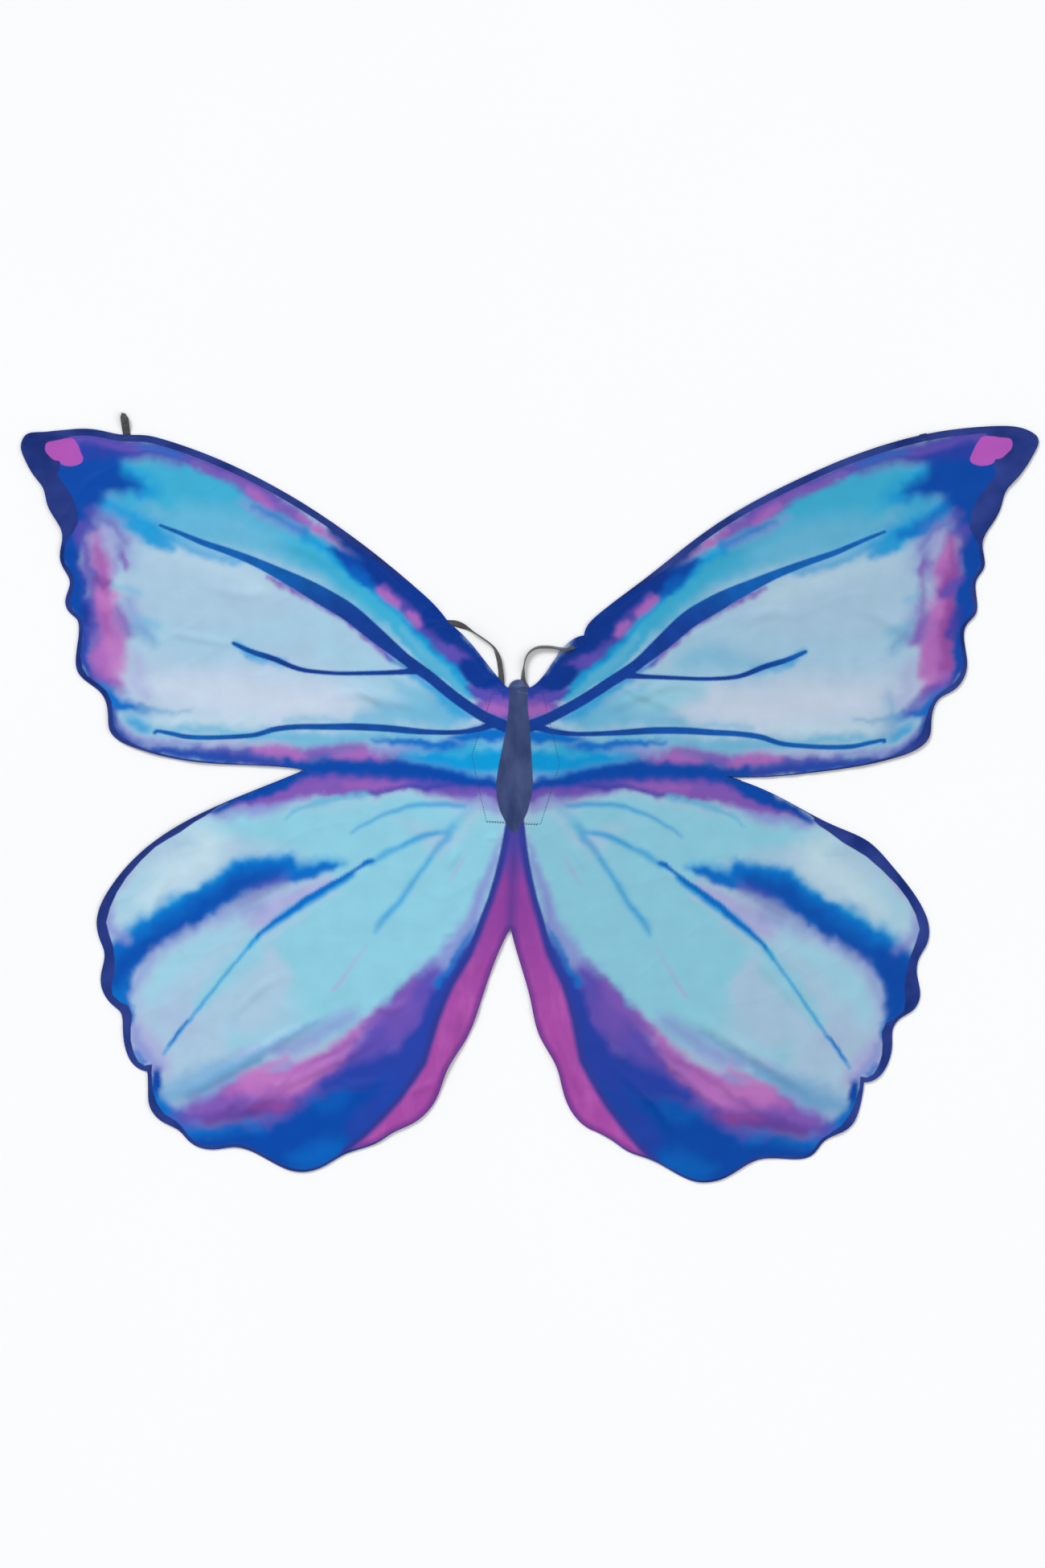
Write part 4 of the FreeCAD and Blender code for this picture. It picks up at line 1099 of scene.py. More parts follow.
def tube_faces(rows, size, first=0):
    """Faces of a capped tube through rows of points that are numbered from the first on."""
    faces = []
    for start in range(first, first + (rows - 1) * size, size):
        for j in range(size):
            a = start + j
            b = start + (j + 1) % size
            faces.append((a, b, b + size, a + size))
    last = first + (rows - 1) * size
    return faces + [tuple(range(first, first + size))[::-1], tuple(range(last, last + size))]


def swept(name, rings, material):
    """A solid through a row of rings, each with the same number of points."""
    rings = np.asarray(rings, float)
    faces = tube_faces(*rings.shape[:2])
    return new_object(name, rings.reshape(-1, 3), faces, material)


def flat_grid(loop):
    """Points inside a loop on a triangular grid, clear of its edge."""
    low = loop.min(0)
    high = loop.max(0)
    row_height = SPACING * math.sqrt(3) / 2
    rows = []
    for i, y in enumerate(np.arange(low[1], high[1], row_height)):
        x = np.arange(low[0] + (i % 2) * SPACING / 2, high[0], SPACING)
        rows.append(np.stack([x, np.full(len(x), y)], 1))
    grid = np.vstack(rows)
    grid = grid[inside(grid, list(zip(loop, np.roll(loop, -1, 0))))]
    ring = closed(loop)
    near = long_path_distance(grid, ring, 2 * SPACING, np.ones(len(ring), bool))
    return grid[near > RIM_CLEARANCE * SPACING]


def cloth(side):
    """One side's satin, as a thin two-layer mesh from the centre seam to the wing tip."""
    loop = OUTLINES[side]
    flat = np.vstack([loop, flat_grid(loop)])
    count = len(loop)
    edges = [(i, (i + 1) % count) for i in range(count)]
    made = delaunay_2d_cdt([Vector(v) for v in flat], edges, [], 1, 1e-5)
    xy = np.array([tuple(v) for v in made[0]])
    triangles = np.array(made[2])
    a, b, c = (xy[triangles[:, k]] for k in range(3))
    turned = np.cross(b - a, c - a) < 0
    triangles[turned] = triangles[turned][:, ::-1]
    z = relief(xy, side)
    pairs = np.vstack([triangles[:, [0, 1]], triangles[:, [1, 2]], triangles[:, [2, 0]]])
    forward = {tuple(e) for e in pairs.tolist()}
    rim = [e for e in forward if (e[1], e[0]) not in forward]
    n = len(xy)
    top = lifted(xy, z + CLOTH_THICK / 2)
    bottom = lifted(xy, z - CLOTH_THICK / 2)
    faces = triangles.tolist()
    faces += (triangles[:, ::-1] + n).tolist()
    faces += [(j, i, i + n, j + n) for i, j in sorted(rim)]
    piece = new_object(side + "_wing_cloth", np.vstack([top, bottom]), faces, SATIN)
    piece.data.materials.append(SATIN_BACK)
    slots = np.zeros(len(faces), np.int32)
    slots[len(triangles):2 * len(triangles)] = 1
    piece.data.polygons.foreach_set("material_index", slots)
    crisp_rim(piece.data, rim, n)
    print_onto(piece.data, side)
    return piece


def crisp_rim(mesh, rim, layer):
    """Marks a two-layer mesh's rim as sharp, so that its faces shade evenly up to their edge."""
    pairs = np.zeros(len(mesh.edges) * 2, np.int32)
    mesh.edges.foreach_get("vertices", pairs)
    pairs = np.sort(pairs.reshape(-1, 2) % layer)
    rim = np.sort(np.array(rim))
    on_rim = np.isin(pairs[:, 0] * layer + pairs[:, 1], rim[:, 0] * layer + rim[:, 1])
    mesh.edges.foreach_set("use_edge_sharp", on_rim)


def hem_labels(side):
    """Which turned hem each point of the outline belongs to, or None along the centre seam."""
    loop = OUTLINES[side]
    nearest = []
    for hem in HEMS:
        points = node_points(side + "_" + hem + "_hem")[:, :2]
        nearest.append([np.hypot(*(points - p).T).min() for p in loop])
    label = [list(HEMS)[k] for k in np.argmin(nearest, axis=0)]
    at_seam = on_seam(loop, tolerance=0.5, clear_of_neck=2)
    return [None if skip else name for name, skip in zip(label, at_seam)]


def hem_run(side, hem):
    """The stretch of outline that a hem follows, with its inward directions."""
    loop = OUTLINES[side]
    normal = inward(loop)
    mask = np.array([name == hem for name in HEM_LABELS[side]])
    start = int(np.argmax(mask & ~np.roll(mask, 1)))
    order = [(start + k) % len(loop) for k in range(int(mask.sum()))]
    order.append((order[-1] + 1) % len(loop))
    return loop[order], normal[order]


def hem(side, name):
    """A turned hem: a folded band under the cloth whose fold wraps the cloth's edge."""
    points, normal = hem_run(side, name)
    width = HEMS[name] + HEM_MARGIN
    section = [(0.9, -0.1), (-0.1, 0.3), (-0.5, 0.1), (-0.6, -0.4), (-0.35, -0.95), (0.4, -1.2),
               (width * 0.5, -1.25), (width, -1.1), (width + 0.3, -0.7), (width, -0.35)]
    rings = []
    for reach, lift in section:
        z = relief(points + normal * max(reach, 0.3), side) + lift
        rings.append(lifted(points + normal * reach, np.maximum(z, HEM_FLOOR)))
    piece = swept(side + "_" + name + "_hem_fold", np.stack(rings, 1), SATIN)
    print_onto(piece.data, side)
    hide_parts(side + "_" + name + "_hem")
    return piece


def stitch_row(name, points, height, material, radius=THREAD_RADIUS):
    """A row of stitches along a line on the cloth, each a small bead that dips in at its ends."""
    run = run_along(points)
    pitch = STITCH + STITCH_GAP
    count = int(run[-1] // pitch)
    stations, swell, dip = np.array(BEAD).T
    where = (np.arange(count)[:, None] * pitch + stations * STITCH).ravel()
    xy = np.stack([np.interp(where, run, points[:, k]) for k in (0, 1)], 1)
    ahead = np.stack([np.interp(where + 0.4, run, points[:, k]) for k in (0, 1)], 1)
    rings = thread_rings(xy, height(xy) + np.tile(dip, count), left_of(unit(ahead - xy)),
                         np.tile(swell, count) * radius)
    faces = []
    for first in range(0, count * len(BEAD) * THREAD_SIDES, len(BEAD) * THREAD_SIDES):
        faces += tube_faces(len(BEAD), THREAD_SIDES, first)
    return new_object(name, rings.reshape(-1, 3), faces, material)


def thread_rings(xy, z, sideways, radius):
    """Rings of points around a line of thread, the radius the same all along or one each."""
    rings = []
    for turn in np.linspace(0, 2 * math.pi, THREAD_SIDES, endpoint=False):
        step = sideways * np.broadcast_to(math.cos(turn) * radius, len(xy))[:, None]
        rings.append(lifted(xy + step, z + math.sin(turn) * radius))
    return np.stack(rings, 1)


def on_cloth(side):
    """The height on top of one side's cloth, as a function of the place."""
    return lambda xy: relief(xy, side) + CLOTH_THICK / 2


def on_both(xy):
    """Height on top of whichever side's cloth a point is on."""
    left = xy[:, 0] < seam_x(xy[:, 1])
    z = np.zeros(len(xy))
    for side, mask in (("left", left), ("right", ~left)):
        if mask.any():
            z[mask] = on_cloth(side)(xy[mask])
    return z


def hem_stitches(side, name):
    """The row of stitches along a hem, with the points left out that bunch up in its corners."""
    points, normal = hem_run(side, name)
    line = points + normal * HEMS[name]
    kept = [line[0]]
    for p in line[1:]:
        if np.hypot(*(p - kept[-1])) > 0.6 * SPACING:
            kept.append(p)
    row = stitch_row(side + "_" + name + "_stitches", np.array(kept), on_cloth(side), THREAD)
    return row


# ---------------------------------------------------------------- elastics

def band_section(count):
    """Section of a band with soft edges: shares of its half width and of its half thickness."""
    section = []
    for face in (1, -1):
        for share in np.linspace(-face, face, count):
            section.append((share, face * (1 - EDGE_SOFTNESS * abs(share) ** 6)))
    return np.array(section)


def strap(side):
    """A shoulder elastic: flat where it is sewn under the cloth, twisted onto its edge between."""
    line = smooth_path(np.array(STRAPS[side], float), pieces=8)
    centre = line[:, :2]
    normal = left_of(unit(np.gradient(centre, axis=0)))
    roll = np.radians(line[:, 2])
    half = STRAP_WIDTH / 2
    section = band_section(9) * (half, STRAP_THICK / 2)
    base = STRAP_FLOOR + half * np.abs(np.sin(roll)) + STRAP_THICK / 2 * np.abs(np.cos(roll))
    rings = []
    for across, through in section:
        flat = across * np.cos(roll) - through * np.sin(roll)
        lift = across * np.sin(roll) + through * np.cos(roll)
        rings.append(lifted(centre + normal * flat[:, None], base + lift))
    piece = swept(side + "_shoulder_elastic", np.stack(rings, 1), ELASTIC)
    put_weave(piece.data, section[:, 0], run_along(centre))
    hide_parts(side + "_shoulder_strap", side + "_strap_outer_end",
                side + "_strap_inner_end")
    return piece


def loop_frame(side):
    """A finger loop's root, and the directions out from the hem and across the elastic."""
    (x, y), turn = LOOPS[side]
    angle = math.radians(90 + turn)
    out = np.array([math.cos(angle), math.sin(angle)])
    return np.array([x, y]), out, np.array([-out[1], out[0]])


def finger_loop(side):
    """A short doubled elastic, closed at its tip."""
    root, out, across = loop_frame(side)
    profile = smooth_path(np.array(LOOP_PROFILES[side], float), pieces=8)
    reach, rise = profile.T
    through = left_of(unit(np.gradient(profile, axis=0)))
    half_width = LOOP_WIDTH / 2 * (1 - LOOP_NARROWING[side] * ease((reach - 20.5) / 7))
    section = band_section(11)
    rings = []
    for share, thick in section:
        slant = LOOP_SLANT[side] * share * ease(reach / 26)
        crease = -LOOP_CREASE[side] * math.exp(-((share - 0.35) / 0.18) ** 2) * ease(rise / 4)
        r, z = through.T * thick * LOOP_THICK / 2 + (reach + slant, rise + crease)
        xy = root + out * r[:, None] + across * (share * half_width)[:, None]
        rings.append(lifted(xy, np.maximum(z, LOOP_FLOOR)))
    piece = swept(side + "_loop_elastic", np.stack(rings, 1), ELASTIC)
    put_weave(piece.data, section[:, 0] * LOOP_WIDTH / 2, run_along(profile))
    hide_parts(side + "_finger_loop")
    return piece


def bar_tack(name, side):
    """A dense zigzag of thread that holds an elastic."""
    points = node_points(name)[:, :2]
    centre = points.mean(0)
    spread = np.cov((points - centre).T)
    across = np.linalg.eigh(spread)[1][:, 1]
    along = np.array([-across[1], across[0]])
    reach = np.abs((points - centre) @ across).max()
    half = np.abs((points - centre) @ along).max()
    line = []
    for i in range(TACK_TURNS + 1):
        share = 2 * i / TACK_TURNS - 1
        sway = half * (1 if i % 2 else -1)
        line.append(centre + across * reach * share + along * sway)
    steps = []
    for a, b in zip(line, line[1:]):
        steps += [a + (b - a) * t for t in (0, 0.33, 0.66)]
    xy = np.array(steps + [line[-1]])
    z = on_cloth(side)(xy) + TACK_RISE
    sideways = left_of(unit(np.gradient(xy, axis=0)))
    piece = swept(name + "_thread", thread_rings(xy, z, sideways, TACK_THREAD), THREAD)
    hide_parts(name)
    return piece


# ---------------------------------------------------------------- middle of the back

def tab_outline(inset):
    """Outline of the head tab, pulled in by a distance: straight sides and a round top."""
    half = TAB_HALF - inset
    top = TAB_TOP - TAB_SPRING - inset
    bottom = TAB_BOTTOM + inset
    corner = half - TAB_ROUNDING
    points = [(-corner, bottom), (corner, bottom), (corner + 1.0, bottom + 1.0)]
    for turn in np.linspace(0, math.pi, 25):
        points.append((half * math.cos(turn), TAB_SPRING + top * math.sin(turn)))
    points.append((-corner - 1.0, bottom + 1.0))
    return np.array(points) + (TAB_X, 0)


def head_tab():
    """The rounded tab of doubled cloth at the head, lying over the neck."""
    levels = [(0, 1.0), (-0.2, 1.9), (0, 2.6), (0.5, 2.95), (1.5, 3.1), (3, 3.15), (5, 3.2),
              (7, 3.25)]
    rings = np.stack([lifted(tab_outline(inset), z) for inset, z in levels])
    upper = rings[3:]
    upper[:, :, 2] += 0.12 * noise(upper[:, :, :2].reshape(-1, 2), 5, 41, 2).reshape(len(upper), -1)
    piece = swept("head_tab_cloth", rings, TAB)
    put(piece.data, "cloth", lifted(rings[:, :, :2].reshape(-1, 2), 0))
    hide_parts("head_tab")
    return piece


def tab_stitches():
    """The row of stitches across the foot of the head tab."""
    low = TAB_BOTTOM + 1.3
    reach = TAB_HALF - TAB_ROUNDING
    line = smooth_path([(TAB_X - reach, low), (TAB_X, low - 0.3), (TAB_X + reach, low)])
    row = stitch_row("head_tab_stitches", line, lambda xy: np.full(len(xy), TAB_HEIGHT), THREAD,
                     radius=TAB_THREAD)
    return row


def straight_points(corners, steps):
    """Points along straight pieces from corner to corner, with the last corner at the end."""
    corners = np.array(corners, float)
    points = []
    for a, b in zip(corners, corners[1:]):
        points += [a + (b - a) * t for t in np.linspace(0, 1, steps, endpoint=False)]
    return np.array(points + [corners[-1]])


def yoke_patch():
    """A plain reinforcing patch under the cloth, with a turned edge."""
    ring = straight_points(YOKE + YOKE[:1], 20)[:-1]
    spoke = unit(ring - np.mean(YOKE, axis=0))
    rings = []
    for reach, z in ((-45, 0.9), (-12, 0.9), (-1, 0.95), (2.2, 1.15), (YOKE_MARGIN, 0.9),
                     (YOKE_MARGIN, 0.6), (2.2, 0.35), (-1, 0.5), (-12, 0.55), (-45, 0.55)):
        xy = ring + spoke * reach
        rings.append(lifted(xy, z + 0.08 * noise(xy, 12, 31, 2)))
    rings = np.stack(rings)
    piece = swept("yoke_lining", rings, LINING)
    put(piece.data, "cloth", lifted(rings[:, :, :2].reshape(-1, 2), 0))
    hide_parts("yoke_patch")
    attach(piece, "back")
    return piece


def yoke_stitches():
    """The six-sided row that holds the lining, sewn over once more along its lower side."""
    lower = [(x, y - YOKE_ROWS) for x, y in YOKE[2:4]]
    for name, corners in (("yoke_stitch_line", YOKE + YOKE[:1]), ("yoke_backstitch_line", lower)):
        row = stitch_row(name, straight_points(corners, 30), on_both, THREAD, radius=YOKE_THREAD)
        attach(row, "back")
        if name == "yoke_stitch_line":
            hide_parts("yoke_stitching")


def seam_allowance():
    """The cloth turned in along the centre seam, two soft leaves under the wings."""
    y = np.linspace(SEAM[-1][1] + 1, SEAM[2][1] - 1, 60)
    x = seam_x(y)
    section = [(-4.0, 0.9), (-3.9, 1.3), (-1, 1.5), (0, 1.2), (1, 1.5), (3.9, 1.3), (4.0, 0.9),
               (1, 0.9), (0, 0.5), (-1, 0.9)]
    rings = [lifted(np.stack([x + dx, y], 1), z) for dx, z in section]
    piece = swept("centre_seam_allowance", np.stack(rings, 1), SATIN_BACK)
    print_onto(piece.data, "left")
    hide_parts("centre_seam")
    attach(piece, "back")
    return piece


# ---------------------------------------------------------------- materials

# Places of a mix node's share and two colours among its inputs, and of its colour result
MIX_SOCKETS = (0, 6, 7)
MIX_RESULT = 2


class Shader:
    """A node material being built."""

    def __init__(self, name, **finish):
        self.material = bpy.data.materials.new(name)
        self.material.use_nodes = True
        self.tree = self.material.node_tree
        self.surface = self.tree.nodes["Principled BSDF"]
        for socket, value in finish.items():
            self.surface.inputs[socket.replace("_", " ")].default_value = value

    def node(self, kind, inputs=None, **settings):
        """A new node with its settings made and its inputs fed."""
        made = self.tree.nodes.new(kind)
        for name, value in settings.items():
            setattr(made, name, value)
        for name, value in (inputs or {}).items():
            self.feed(made.inputs[name], value)
        return made

    def feed(self, socket, value):
        """Gives a socket a link or a value of its own."""
        if isinstance(value, bpy.types.NodeSocket):
            self.tree.links.new(value, socket)
        elif socket.type == "RGBA":
            socket.default_value = (*value, 1)
        else:
            socket.default_value = value

    def stored(self, name, output="Fac"):
        """A value that the mesh carries at its points."""
        return self.node("ShaderNodeAttribute", attribute_name=name).outputs[output]

    def noise(self, place, scale, detail=3.0, stretch=(1, 1, 1)):
        """Noise between 0 and 1 with features of a given size in millimetres."""
        inputs = {"Vector": place, "Scale": tuple(s / scale for s in stretch)}
        scaled = self.node("ShaderNodeMapping", inputs)
        return self.node("ShaderNodeTexNoise", {"Vector": scaled.outputs[0], "Scale": 1.0,
                                                "Detail": detail}).outputs["Fac"]

    def math(self, operation, a, b=0.0):
        """One sum of two values."""
        return self.node("ShaderNodeMath", {0: a, 1: b}, operation=operation).outputs[0]

    def within(self, field, soft):
        """1 inside a signed distance, 0 outside, with a soft step between."""
        inputs = {"Value": field, "From Min": soft, "From Max": -soft}
        return self.node("ShaderNodeMapRange", inputs,
                         interpolation_type="SMOOTHSTEP").outputs[0]

    def between(self, value, low, high, low_out, high_out):
        """A value's range from low to high stretched onto another range."""
        inputs = {"Value": value, "From Min": low, "From Max": high, "To Min": low_out,
                  "To Max": high_out}
        return self.node("ShaderNodeMapRange", inputs).outputs[0]

    def mix(self, a, b, share):
        """Colour a with a share of colour b over it."""
        made = self.node("ShaderNodeMix", data_type="RGBA")
        for socket, value in zip(MIX_SOCKETS, (share, a, b)):
            self.feed(made.inputs[socket], value)
        return made.outputs[MIX_RESULT]

    def shade(self, colour, amount):
        """The colour made lighter or darker by a factor that varies over the surface."""
        return self.node("ShaderNodeVectorMath", {0: colour, 1: self.grey(amount)},
                         operation="MULTIPLY").outputs[0]

    def grey(self, value):
        """The same value in all three channels."""
        return self.node("ShaderNodeCombineXYZ", {0: value, 1: value, 2: value}).outputs[0]

    def bump(self, height, depth, strength=1.0):
        """Relief of a given depth in millimetres."""
        inputs = {"Height": height, "Distance": depth * M, "Strength": strength}
        if self.surface.inputs["Normal"].links:
            inputs["Normal"] = self.surface.inputs["Normal"].links[0].from_socket
        made = self.node("ShaderNodeBump", inputs)
        self.feed(self.surface.inputs["Normal"], made.outputs[0])

    def finish(self, colour):
        """Gives the surface its colour and hands the material over."""
        self.feed(self.surface.inputs["Base Color"], colour)
        return self.material


def tail_panel(shader, place):
    """The panel along the hindwing's inner edge: magenta with painted highlights on its folds, turning
    blue at its top and hem.
    """
    height = shader.node("ShaderNodeSeparateXYZ", {0: place}).outputs[1]
    # painted highlights: noise stretched along the folds lightens the magenta
    painted_fold_light = shader.noise(place, 40.0, 3.0, (1.6, 0.5, 1))
    colour = shader.mix(to_linear(TAIL_COLOUR), to_linear(TAIL_FOLD_HIGHLIGHT),
                        shader.between(painted_fold_light, 0.45, 0.75, 0, 0.6))
    colour = shader.mix(colour, to_linear(TAIL_UPPER_COLOUR),
                        shader.between(height, *TAIL_DEEPENS, 0.0, 0.8))
    colour = shader.mix(colour, to_linear(TAIL_TOP_COLOUR),
                        shader.between(height, *TAIL_TURNS, 0.0, 1.0))
    colour = shader.mix(colour, to_linear(TAIL_HEM_COLOUR),
                        shader.between(shader.stored("rim"), 2.0, 9.0, 0.75, 0.0))
    inner = shader.math("ADD", shader.stored("tail"), TAIL_STRIPE)
    colour = shader.mix(to_linear(TAIL_EDGE_COLOUR), colour, shader.within(inner, 4.0))
    return shader.mix(colour, to_linear(TAIL_SEAM_COLOUR),
                      shader.between(shader.stored("seam"), 1.0, 12.0, 0.6, 0.0))


def veins_over(shader, place, colour, vein, ragged):
    """Inked veins, each with a paler bleed around it."""
    ink = shader.mix(to_linear(VEIN_COLOUR), to_linear(FORK_COLOUR), shader.stored("fork"))
    tone = shader.between(shader.noise(place, 22.0, 3.0), 0.35, 0.65, 0.88, 1.1)
    bleed = shader.within(shader.math("SUBTRACT", vein, shader.math("MULTIPLY", ragged, 2.0)), 4.0)
    colour = shader.mix(colour, to_linear(PALETTE["azure"]), shader.math("MULTIPLY", bleed, 0.45))
    return shader.mix(colour, shader.shade(ink, tone), shader.within(vein, 1.3))


def inks(shader, place):
    """The printed colour: soft washes under crisp inked shapes, each over the one before, with painted
    sheen on the dark border and painted highlights on the tail's folds.
    """
    grain = shader.math("SUBTRACT", shader.noise(place, 9.0, 4.0), 0.5)
    ragged = shader.math("MULTIPLY", grain, 2.4)
    fine = shader.math("SUBTRACT", shader.noise(place, 3.0), 0.5)
    colour = shader.stored("wash", "Color")
    tail = shader.math("ADD", shader.stored("tail"), fine)
    colour = shader.mix(colour, tail_panel(shader, place), shader.within(tail, 1.8))
    vein = shader.math("ADD", shader.stored("vein"), fine)
    colour = veins_over(shader, place, colour, vein, ragged)

    # painted sheen: paler patches on the dark border for the satin catching light
    painted_sheen_patches = shader.between(shader.noise(place, 60.0, 2.0), 0.35, 0.7, 0.0, 0.75)
    dark = shader.mix(to_linear(BORDER_DARK), to_linear(BORDER_PAINTED_SHEEN), painted_sheen_patches)
    colour = shader.mix(colour, dark, shader.within(shader.stored("border"), 0.9))
    hexagon = shader.math("ADD", shader.stored("hexagon"), shader.math("MULTIPLY", ragged, 0.5))
    colour = shader.mix(colour, to_linear(HEXAGON_COLOUR), shader.within(hexagon, 0.8))

    streaks = shader.noise(place, 26.0, 4.0, (1.0, 0.45, 1))
    body = shader.mix(to_linear(BODY_DARK), to_linear(BODY_LIGHT),
                      shader.between(streaks, 0.35, 0.7, 0, 1))
    return shader.mix(colour, body, shader.within(shader.stored("body"), 0.8))


def satin(name, back=False):
    """Printed polyester satin with painted light and shade in broad soft patches; its back shows the
    print paler and duller.
    """
    shader = Shader(name, Roughness=0.6 if back else 0.45, Specular_IOR_Level=0.1)
    place = shader.stored("cloth", "Vector")
    colour = inks(shader, place)
    # painted light and shade: the colour a few percent lighter or darker in soft 30 mm patches
    painted_light_and_shade = shader.between(shader.noise(place, 30.0, 5.0), 0.3, 0.7, 0.965, 1.035)
    colour = shader.shade(colour, painted_light_and_shade)
    if back:
        colour = shader.mix(colour, to_linear(BACK_TINT), 0.55)
    shader.bump(shader.noise(place, *WEAVE), 0.03, 0.35)
    shader.bump(shader.noise(place, 14.0, 4.0), 0.55, 0.6)
    return shader.finish(colour)


def tab_satin():
    """The plain slate satin of the head tab."""
    shader = Shader("tab_satin", Roughness=0.45, Specular_IOR_Level=0.15)
    place = shader.stored("cloth", "Vector")
    light = shader.noise(place, 12.0, 4.0)
    colour = shader.mix(to_linear(TAB_DARK), to_linear(TAB_LIGHT),
                        shader.between(light, 0.35, 0.65, 0, 1))
    shader.bump(shader.noise(place, *WEAVE), 0.03, 0.4)
    shader.bump(shader.noise(place, 6.0, 3.0), 0.4, 0.6)
    return shader.finish(colour)


def lining():
    """The plain patch behind the body."""
    shader = Shader("lining", Roughness=0.8)
    place = shader.stored("cloth", "Vector")
    tone = shader.noise(place, 20.0, 4.0)
    colour = shader.mix(to_linear(LINING_DARK), to_linear(LINING_LIGHT), tone)
    shader.bump(shader.noise(place, 0.8, 1.0, (0.25, 1, 1)), 0.06, 0.6)
    return shader.finish(colour)


def elastic_band():
    """Woven elastic: ribs along the band, fine picks across it, a painted highlight on the ribs and paler
    patches at random.
    """
    shader = Shader("elastic_band", Roughness=0.7, Sheen_Weight=0.25, Sheen_Roughness=0.5)
    place = shader.stored("weave", "Vector")
    split = shader.node("ShaderNodeSeparateXYZ", {0: place})
    rib = shader.math("SINE", shader.math("MULTIPLY", split.outputs[0], 2 * math.pi / RIB_PITCH))
    pick = shader.math("SINE", shader.math("MULTIPLY", split.outputs[1], 2 * math.pi / PICK_PITCH))
    relief_map = shader.math("ADD", rib, shader.math("MULTIPLY", pick, 0.35))
    patchy = shader.noise(place, 5.0, 3.0)
    # painted highlight on the ribs' crests, plus paler patches at random
    rib_highlight_and_patches = shader.math("ADD", shader.between(rib, -1, 1, 0, 0.5),
                      shader.between(patchy, 0.3, 0.7, 0, 0.5))
    colour = shader.mix(to_linear(ELASTIC_DARK), to_linear(ELASTIC_LIGHT), rib_highlight_and_patches)
    shader.bump(relief_map, 0.08, 0.7)
    return shader.finish(colour)


def thread():
    """Dark twisted sewing thread."""
    shader = Shader("thread", Roughness=0.6, Sheen_Weight=0.3)
    place = shader.node("ShaderNodeTexCoord").outputs["Object"]
    twist = shader.node("ShaderNodeTexNoise", {"Vector": place, "Scale": 2200.0}).outputs["Fac"]
    colour = shader.mix(to_linear(THREAD_DARK), to_linear(THREAD_LIGHT), twist)
    shader.bump(twist, 0.05, 0.5)
    return shader.finish(colour)


def paper_floor():
    """The pale ground that the wings lie on."""
    shader = Shader("paper_floor", Roughness=0.9, Specular_IOR_Level=0.1)
    place = shader.node("ShaderNodeTexCoord").outputs["Object"]
    tone = shader.node("ShaderNodeTexNoise", {"Vector": place, "Scale": 1.5}).outputs["Fac"]
    return shader.finish(shader.mix(*PAPER, tone))


SATIN = satin("printed_satin_face")
SATIN_BACK = satin("printed_satin_back", back=True)
TAB = tab_satin()
LINING = lining()
ELASTIC = elastic_band()
THREAD = thread()


# ---------------------------------------------------------------- the pieces and what they ride on

def bends_with_wing(piece):
    """Bakes the piece's placement into its mesh."""
    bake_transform(piece)


def build_side(side):
    """One side's cloth with its hems and stitches, and its elastics with what holds them."""
    satin_piece = cloth(side)
    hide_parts(side + "_back_panel", side + "_forewing", side + "_hindwing")
    bends_with_wing(satin_piece)
    for name in HEMS:
        for piece in (hem(side, name), hem_stitches(side, name)):
            bends_with_wing(piece)

    band = strap(side)
    start, end = (np.array(STRAPS[side][k][:2], float) for k in STRAP_CHORD[side])
    chord = end - start
    outwards = np.array([-chord[1], chord[0]]) / np.hypot(*chord)
    outwards *= np.sign(outwards[1])
    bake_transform(band)

    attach(finger_loop(side), side + "_loop")
    for name in ("outer_tack", "inner_tack"):
        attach(bar_tack(side + "_" + name, side), "back")
    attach(bar_tack(side + "_loop_tack", side), side + "_wing")
    sewn_loop_end(side)


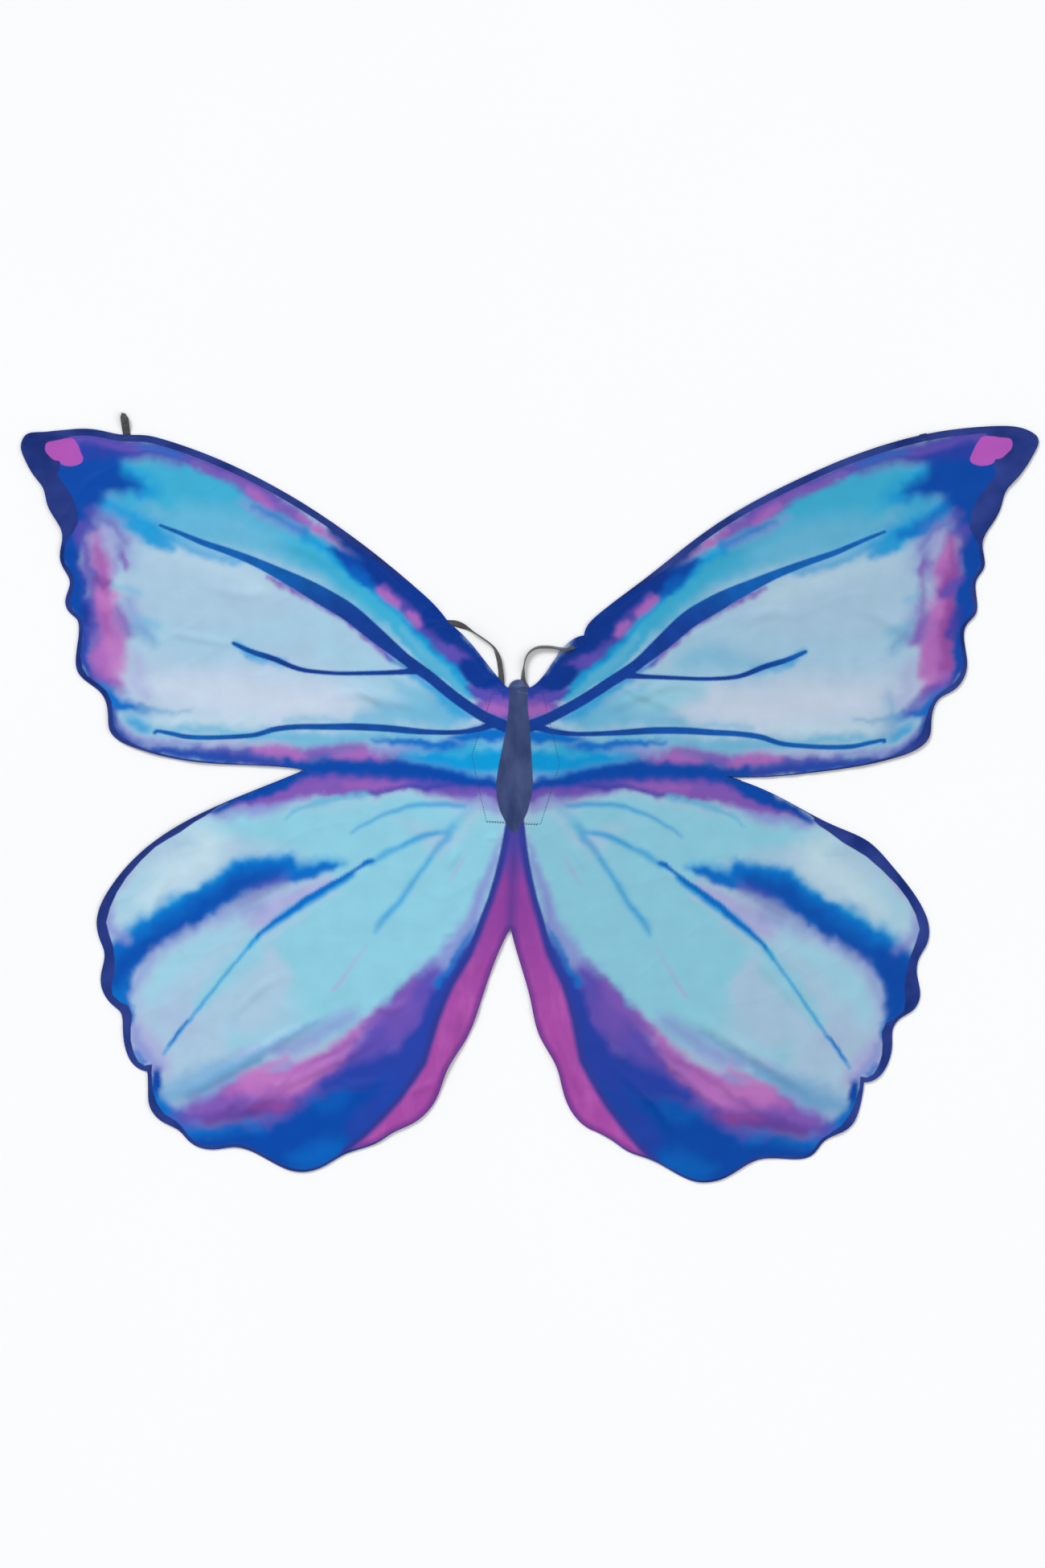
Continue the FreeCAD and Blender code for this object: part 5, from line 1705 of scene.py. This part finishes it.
def sewn_loop_end(side):
    """The end of the finger elastic that is sewn in under the hem."""
    root, out, across = loop_frame(side)
    half = LOOP_WIDTH / 2
    reach = np.linspace(*SEWN_LOOP_REACH, 12)
    section = [(-half, 0), (-half, 0.5), (0, 0.6), (half, 0.5), (half, 0), (0, 0)]
    rings = []
    for side_step, lift in section:
        xy = root + out * reach[:, None] + across * side_step
        rings.append(lifted(xy, SEWN_LOOP_HEIGHT + lift))
    piece = swept(side + "_sewn_loop_end", np.stack(rings, 1), ELASTIC)
    put_weave(piece.data, [side_step for side_step, _ in section], reach)
    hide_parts(side + "_loop_end")
    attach(piece, side + "_wing")


HEM_LABELS = {side: hem_labels(side) for side in SIDES}
yoke_patch()
for side in SIDES:
    build_side(side)
yoke_stitches()
seam_allowance()
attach(head_tab(), "back")
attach(tab_stitches(), "back")


# ---------------------------------------------------------------- floor, light and camera

def floor():
    """A wide plain ground under the wings."""
    mesh = bpy.data.meshes.new("floor")
    r = FLOOR_REACH
    mesh.from_pydata([(-r, -r, 0), (r, -r, 0), (r, r, 0), (-r, r, 0)], [], [(0, 1, 2, 3)])
    made = bpy.data.objects.new("floor", mesh)
    mesh.materials.append(paper_floor())
    bpy.context.scene.collection.objects.link(made)


def lamp(name, towards, strength, spread):
    """A broad, even light from a direction."""
    data = bpy.data.lights.new(name, "SUN")
    data.energy = strength
    data.angle = math.radians(spread)
    made = bpy.data.objects.new(name, data)
    made.rotation_euler = (-Vector(towards)).to_track_quat("-Z", "Y").to_euler()
    bpy.context.scene.collection.objects.link(made)


def surroundings(strength):
    """A pale, even sky."""
    world = bpy.data.worlds.new("studio")
    bpy.context.scene.world = world
    world.use_nodes = True
    background = world.node_tree.nodes["Background"]
    background.inputs["Color"].default_value = (*SKY, 1)
    background.inputs["Strength"].default_value = strength


def camera():
    """Straight down onto the wings."""
    data = bpy.data.cameras.new("camera")
    data.lens = CAMERA_LENS
    made = bpy.data.objects.new("camera", data)
    made.location = (CAMERA_CENTRE[0] * M, CAMERA_CENTRE[1] * M, CAMERA_HEIGHT)
    bpy.context.scene.collection.objects.link(made)
    bpy.context.scene.camera = made


floor()
lamp("key", *KEY_LIGHT)
lamp("fill", *FILL_LIGHT)
surroundings(AMBIENT)
camera()
bpy.context.scene.view_settings.view_transform = "Standard"
